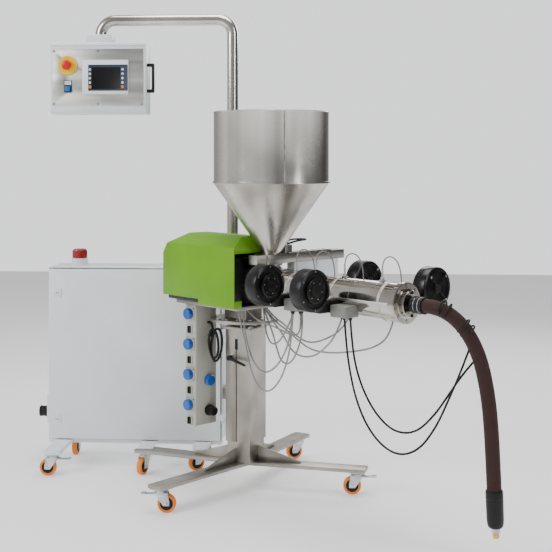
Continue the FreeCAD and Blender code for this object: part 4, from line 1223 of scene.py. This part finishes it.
# %% Beacon
base_low, base_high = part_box("beacon_base")
lens_low, lens_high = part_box("beacon_lens")
beacon = Matrix.Translation(((base_low.x + base_high.x) / 2, (base_low.y + base_high.y) / 2, 0))
bm = bmesh.new()
z0 = base_low.z
lathed(bm, [(0, z0), (0.041, z0), (0.041, z0 + 0.005), (0.0395, z0 + 0.007), (0.037, z0 + 0.030),
            (0.0365, z0 + 0.034), (0, z0 + 0.034)], beacon, 64)
built("beacon_foot", bm, "base", white_paint, ("beacon_base",))
bm = bmesh.new()
z0, z1 = lens_low.z, lens_high.z
lathed(bm, [(0, z0), (0.035, z0), (0.035, z0 + 0.006), (0.0338, z0 + 0.007),
            (0.0338, z1 - 0.010), (0.0325, z1 - 0.005), (0.027, z1 - 0.001), (0.02, z1), (0, z1)],
       beacon, 96)
for k in range(32):
    rib = beacon @ Matrix.Rotation(2 * math.pi * k / 32, 4, "Z")
    block(bm, (0.0333, -0.0010, z0 + 0.007), (0.0348, 0.0010, z1 - 0.010), 0.0004, rib, 1)
built("beacon_cover", bm, "base", red_lens, ("beacon_lens",))
print("beacon top", round(lens_high.z, 3))

# %% [markdown]
# ## The support arm
# A bent stainless tube. Its construction mesh is made of flat strips, so the visible tube is a
# smooth curve with a round section instead, along the same three straight runs and two bends.

# %% Support arm
tube_low, tube_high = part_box("support_arm")
TUBE_RADIUS = 0.0254
ARM_BEND = 0.068
post_x = tube_high.x - TUBE_RADIUS
drop_x = tube_low.x + TUBE_RADIUS
arm_y = (tube_low.y + tube_high.y) / 2
arm_z = tube_high.z - TUBE_RADIUS
HANDLE = ARM_BEND * 0.5523
arm_curve = bpy.data.curves.new("arm", "CURVE")
arm_curve.dimensions = "3D"
spline = arm_curve.splines.new("BEZIER")
corners = [
    ((post_x, tube_low.z), (0, -1), (0, 1)),
    ((post_x, arm_z - ARM_BEND), (0, -1), (0, 1)),
    ((post_x - ARM_BEND, arm_z), (1, 0), (-1, 0)),
    ((drop_x + ARM_BEND, arm_z), (1, 0), (-1, 0)),
    ((drop_x, arm_z - ARM_BEND), (0, 1), (0, -1)),
]
spline.bezier_points.add(len(corners) - 1)
for point, ((x, z), before, after) in zip(spline.bezier_points, corners):
    spot = Vector((x, arm_y, z))
    point.co = spot
    point.handle_left = spot + Vector((before[0], 0, before[1])) * HANDLE
    point.handle_right = spot + Vector((after[0], 0, after[1])) * HANDLE
arm_curve.resolution_u = 20
arm_curve.bevel_depth = TUBE_RADIUS
arm_curve.bevel_resolution = 10
arm_curve.use_fill_caps = True
arm_object = bpy.data.objects.new("arm", arm_curve)
bpy.context.scene.collection.objects.link(arm_object)
arm_mesh = bpy.data.meshes.new_from_object(arm_object)
bpy.data.objects.remove(arm_object)
finished("arm_tube", arm_mesh, "base", tube_steel, ("support_arm",), 60)
softened("arm_brackets", bar_steel, 0.002)
softened("arm_collar", white_paint, 0.010)
print("arm top", round(tube_high.z, 3))

# %% [markdown]
# ## The operator panel
# A white folded case with a brushed plate, six screws, a screen unit with two columns of keys,
# a red mushroom head on a yellow ring, and a small blue button. The keys are low round discs.

# %% Case and face plate
case_low, case_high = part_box("panel_housing")
softened("panel_housing", white_paint, 0.006)
softened("panel_faceplate", stainless_face, 0.0006)
front_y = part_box("panel_faceplate")[0].y
left_x = case_low.x
top_z = case_high.z


def on_panel(across, down, out=0.0):
    """A place on the face plate: millimetres from the case's left and top edges."""
    return Vector((left_x + across * MM, front_y - out * MM, top_z - down * MM))


screw_spots = [on_panel(u, v, 0.8) for u in (17, 223, 428) for v in (40, 284)]
bolts("panel_screws", screw_spots, "base", zinc_plate, 0.0040, 0.0018, 18,
      (math.radians(90), 0, 0))
bm = bmesh.new()
block(bm, on_panel(2, 318, -2), on_panel(444, 322, 0.6), 0.001)
block(bm, on_panel(2, 12, -2), on_panel(444, 15, 0.6), 0.001)
built("case_folds", bm, "base", white_paint)

# %% Screen unit
screen_low, screen_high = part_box("operator_screen")
bm = bmesh.new()
block(bm, screen_low, screen_high, 0.003)
built("screen_case", bm, "base", white_paint, ("operator_screen",))
bm = bmesh.new()
block(bm, on_panel(180, 224, 7.8), on_panel(364, 104, 8.6), 0.0003)
built("screen_field", bm, "base", screen_grey)
bm = bmesh.new()
block(bm, on_panel(197, 216, 8.4), on_panel(329, 116, 9.2), 0.0003)
built("display", bm, "base", display_dark)
white_keys = bmesh.new()
orange_keys = bmesh.new()
for across in (188, 340):
    for k in range(5):
        key = orange_keys if k == 4 else white_keys
        radius = 0.0066 if k == 4 else 0.0056
        lathed(key, [(0, 0.0003), (radius, 0.0003), (radius, 0.0011), (radius - 0.001, 0.0018),
                     (0, 0.0018)], Matrix.Translation(on_panel(across, 126 + 20 * k, 8.4))
               @ TO_FRONT, 20)
built("white_keys", white_keys, "base", key_white)
built("orange_keys", orange_keys, "base", key_orange)
print("screen centre", [round(v, 3) for v in (screen_low + screen_high) / 2])

# %% Buttons, ring and label plate
stop_low, stop_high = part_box("stop_button")
stop_place = Matrix.Translation(((stop_low.x + stop_high.x) / 2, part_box("stop_ring")[1].y,
                                 (stop_low.z + stop_high.z) / 2)) @ TO_FRONT
turned("yellow_ring", "base", yellow_plastic, [
    (0.0115, 0), (0.045, 0), (0.045, 0.0035), (0.0435, 0.005), (0.026, 0.005), (0.024, 0.0042),
    (0.0115, 0.0042), (0.0115, 0)], stop_place, 72, ("stop_ring",))
turned("stop_mushroom", "stop_head", red_plastic, [
    (0, 0.0028), (0.011, 0.0028), (0.011, 0.016), (0.0205, 0.0165), (0.022, 0.019), (0.022, 0.026),
    (0.0205, 0.0295), (0.016, 0.0312), (0.008, 0.0319), (0, 0.032)], stop_place, 56,
    ("stop_button",), 40)
blue_low, blue_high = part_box("blue_button")
bm = bmesh.new()
block(bm, blue_low, blue_high, 0.002, steps=3)
built("blue_key", bm, "blue_head", blue_plastic, ("blue_button",))
bm = bmesh.new()
centre = (blue_low + blue_high) / 2
outer, inner = 0.0165, 0.0128
for low, high in (((-outer, -outer), (outer, -inner)), ((-outer, inner), (outer, outer)),
                  ((-outer, -inner), (-inner, inner)), ((inner, -inner), (outer, inner))):
    block(bm, (centre.x + low[0], front_y - 0.004, centre.z + low[1]),
          (centre.x + high[0], front_y + 0.0005, centre.z + high[1]), 0.0006)
built("blue_frame", bm, "base", black_plastic)
bm = bmesh.new()
block(bm, on_panel(68, 196, -0.3), on_panel(99, 177, 2), 0.0008)
built("label_plate", bm, "base", key_white)
bm = bmesh.new()
block(bm, on_panel(65, 198, -0.5), on_panel(102, 175, 1.2), 0.0006)
built("label_rim", bm, "base", black_plastic)

# %% Side handle and small hinges
softened("panel_handle", black_plastic, 0.005)
bm = bmesh.new()
right_side = case_high.x
for down in (40, 300):
    hinge = Matrix.Translation((right_side - 0.0035, case_low.y + 0.012, top_z - down * MM))
    lathed(bm, disc_profile(0.0032, -0.012, 0.012, 0.0008), hinge, 16)
built("case_hinges", bm, "base", zinc_plate)
print("panel's right side at x", round(right_side, 3))

# %% [markdown]
# ## The hose's end
# A moulded black sleeve closes the braid. Below it comes a metal hexagon with a thread, and a
# yellow dust cap.

# %% Hose end
end_spot = Vector(HOSE[-1])
end_way = (end_spot - Vector(HOSE[-2])).normalized()
END = HEAD @ Matrix.Translation(end_spot * MM) @ aimed(end_way)
turned("hose_sleeve", "head", black_plastic, [
    (0, 0), (0.027, 0), (0.030, 0.002), (0.031, 0.006), (0.031, 0.030), (0.0302, 0.031),
    (0.0302, 0.034), (0.031, 0.035), (0.0305, 0.100), (0.029, 0.118), (0.026, 0.128),
    (0.022, 0.132), (0, 0.132)], END, 72, ("hose_end_sleeve",))
turned("hose_hexagon", "head", zinc_plate, [
    (0, 0.131), (0.013, 0.131), (0.0155, 0.133), (0.0155, 0.150), (0.013, 0.153), (0.011, 0.153),
    (0.011, 0.157), (0, 0.157)], END, 6, ("hose_nozzle",))
turned("hose_cap", "head", yellow_plastic, [
    (0, 0.1565), (0.011, 0.1565), (0.012, 0.158), (0.012, 0.166), (0.0105, 0.1695), (0, 0.170)],
    END, 32)

# %% Where the two black cables go round the hose
bm = bmesh.new()
for spot, way in (((884, 4, 878), (0.95, 0.2, -0.25)), ((900, 12, 868), (0.80, 0.4, -0.45)),
                  ((948, 40, 820), (0.5, 0.5, -0.7)), ((958, 50, 802), (0.35, 0.5, -0.8))):
    turn = aimed(Vector(way))
    ring = [(0.0288 + 0.0036 * math.cos(a), 0.0036 * math.sin(a))
            for a in [2 * math.pi * k / 10 for k in range(11)]]
    lathed(bm, ring, HEAD @ at(*spot) @ turn, 48)
built("cable_turns", bm, "head", black_plastic)

# %% [markdown]
# ## Studio
# A pale floor and large soft lights. Steel only looks like steel when it has light and dark
# to reflect, so the surround is brighter on the left than on the right, and what the camera
# sees directly behind the machine is plain and pale.

# %% Floor, lights and surround
floor_mesh = bpy.data.meshes.new("floor")
floor_mesh.from_pydata([(-9, -7, 0), (9, -7, 0), (9, 9, 0), (-9, 9, 0)], [], [(0, 1, 2, 3)])
floor_finish, nodes, link, shader = new_finish("floor_grey")
shader.inputs["Base Color"].default_value = (0.86, 0.86, 0.86, 1)
shader.inputs["Roughness"].default_value = 0.7
shader.inputs["Emission Color"].default_value = (1, 1, 1, 1)
shader.inputs["Emission Strength"].default_value = 0.32
floor_mesh.materials.append(floor_finish)
floor = bpy.data.objects.new("floor", floor_mesh)
bpy.context.scene.collection.objects.link(floor)


def soft_light(name, place, aim, width, height, power):
    data = bpy.data.lights.new(name, "AREA")
    data.shape = "RECTANGLE"
    data.size = width
    data.size_y = height
    data.energy = power
    lamp = bpy.data.objects.new(name, data)
    lamp.location = place
    lamp.rotation_euler = (Vector(aim) - Vector(place)).to_track_quat("-Z", "Y").to_euler()
    bpy.context.scene.collection.objects.link(lamp)


soft_light("key_panel", (-4.4, -3.2, 3.5), (0, 0, 0.9), 2.0, 2.4, 190)
soft_light("side_panel", (3.8, -2.4, 2.6), (0, 0, 0.9), 0.8, 2.8, 60)
soft_light("top_panel", (0.2, 0.2, 4.6), (0, 0, 0.8), 3.2, 2.4, 150)
soft_light("back_panel", (1.5, 4.0, 3.0), (0, 0, 1.0), 3.0, 1.4, 70)
world = bpy.data.worlds.new("surround")
world.use_nodes = True
surround = world.node_tree.nodes["Background"]
surround.inputs["Color"].default_value = (0.93, 0.94, 0.95, 1)
spread = world.node_tree.nodes.new("ShaderNodeMapRange")
spread.inputs["From Min"].default_value = -0.9
spread.inputs["From Max"].default_value = 0.9
spread.inputs["To Min"].default_value = 0.75
spread.inputs["To Max"].default_value = 0.12
toward = world.node_tree.nodes.new("ShaderNodeTexCoord")
parts = world.node_tree.nodes.new("ShaderNodeSeparateXYZ")
path = world.node_tree.nodes.new("ShaderNodeLightPath")
level = world.node_tree.nodes.new("ShaderNodeMix")
level.inputs["B"].default_value = 1.5
connect(world.node_tree,
        (toward.outputs["Generated"], parts.inputs["Vector"]),
        (parts.outputs["X"], spread.inputs["Value"]),
        (path.outputs["Is Camera Ray"], level.inputs["Factor"]),
        (spread.outputs["Result"], level.inputs["A"]),
        (level.outputs["Result"], surround.inputs["Strength"]))
bpy.context.scene.world = world
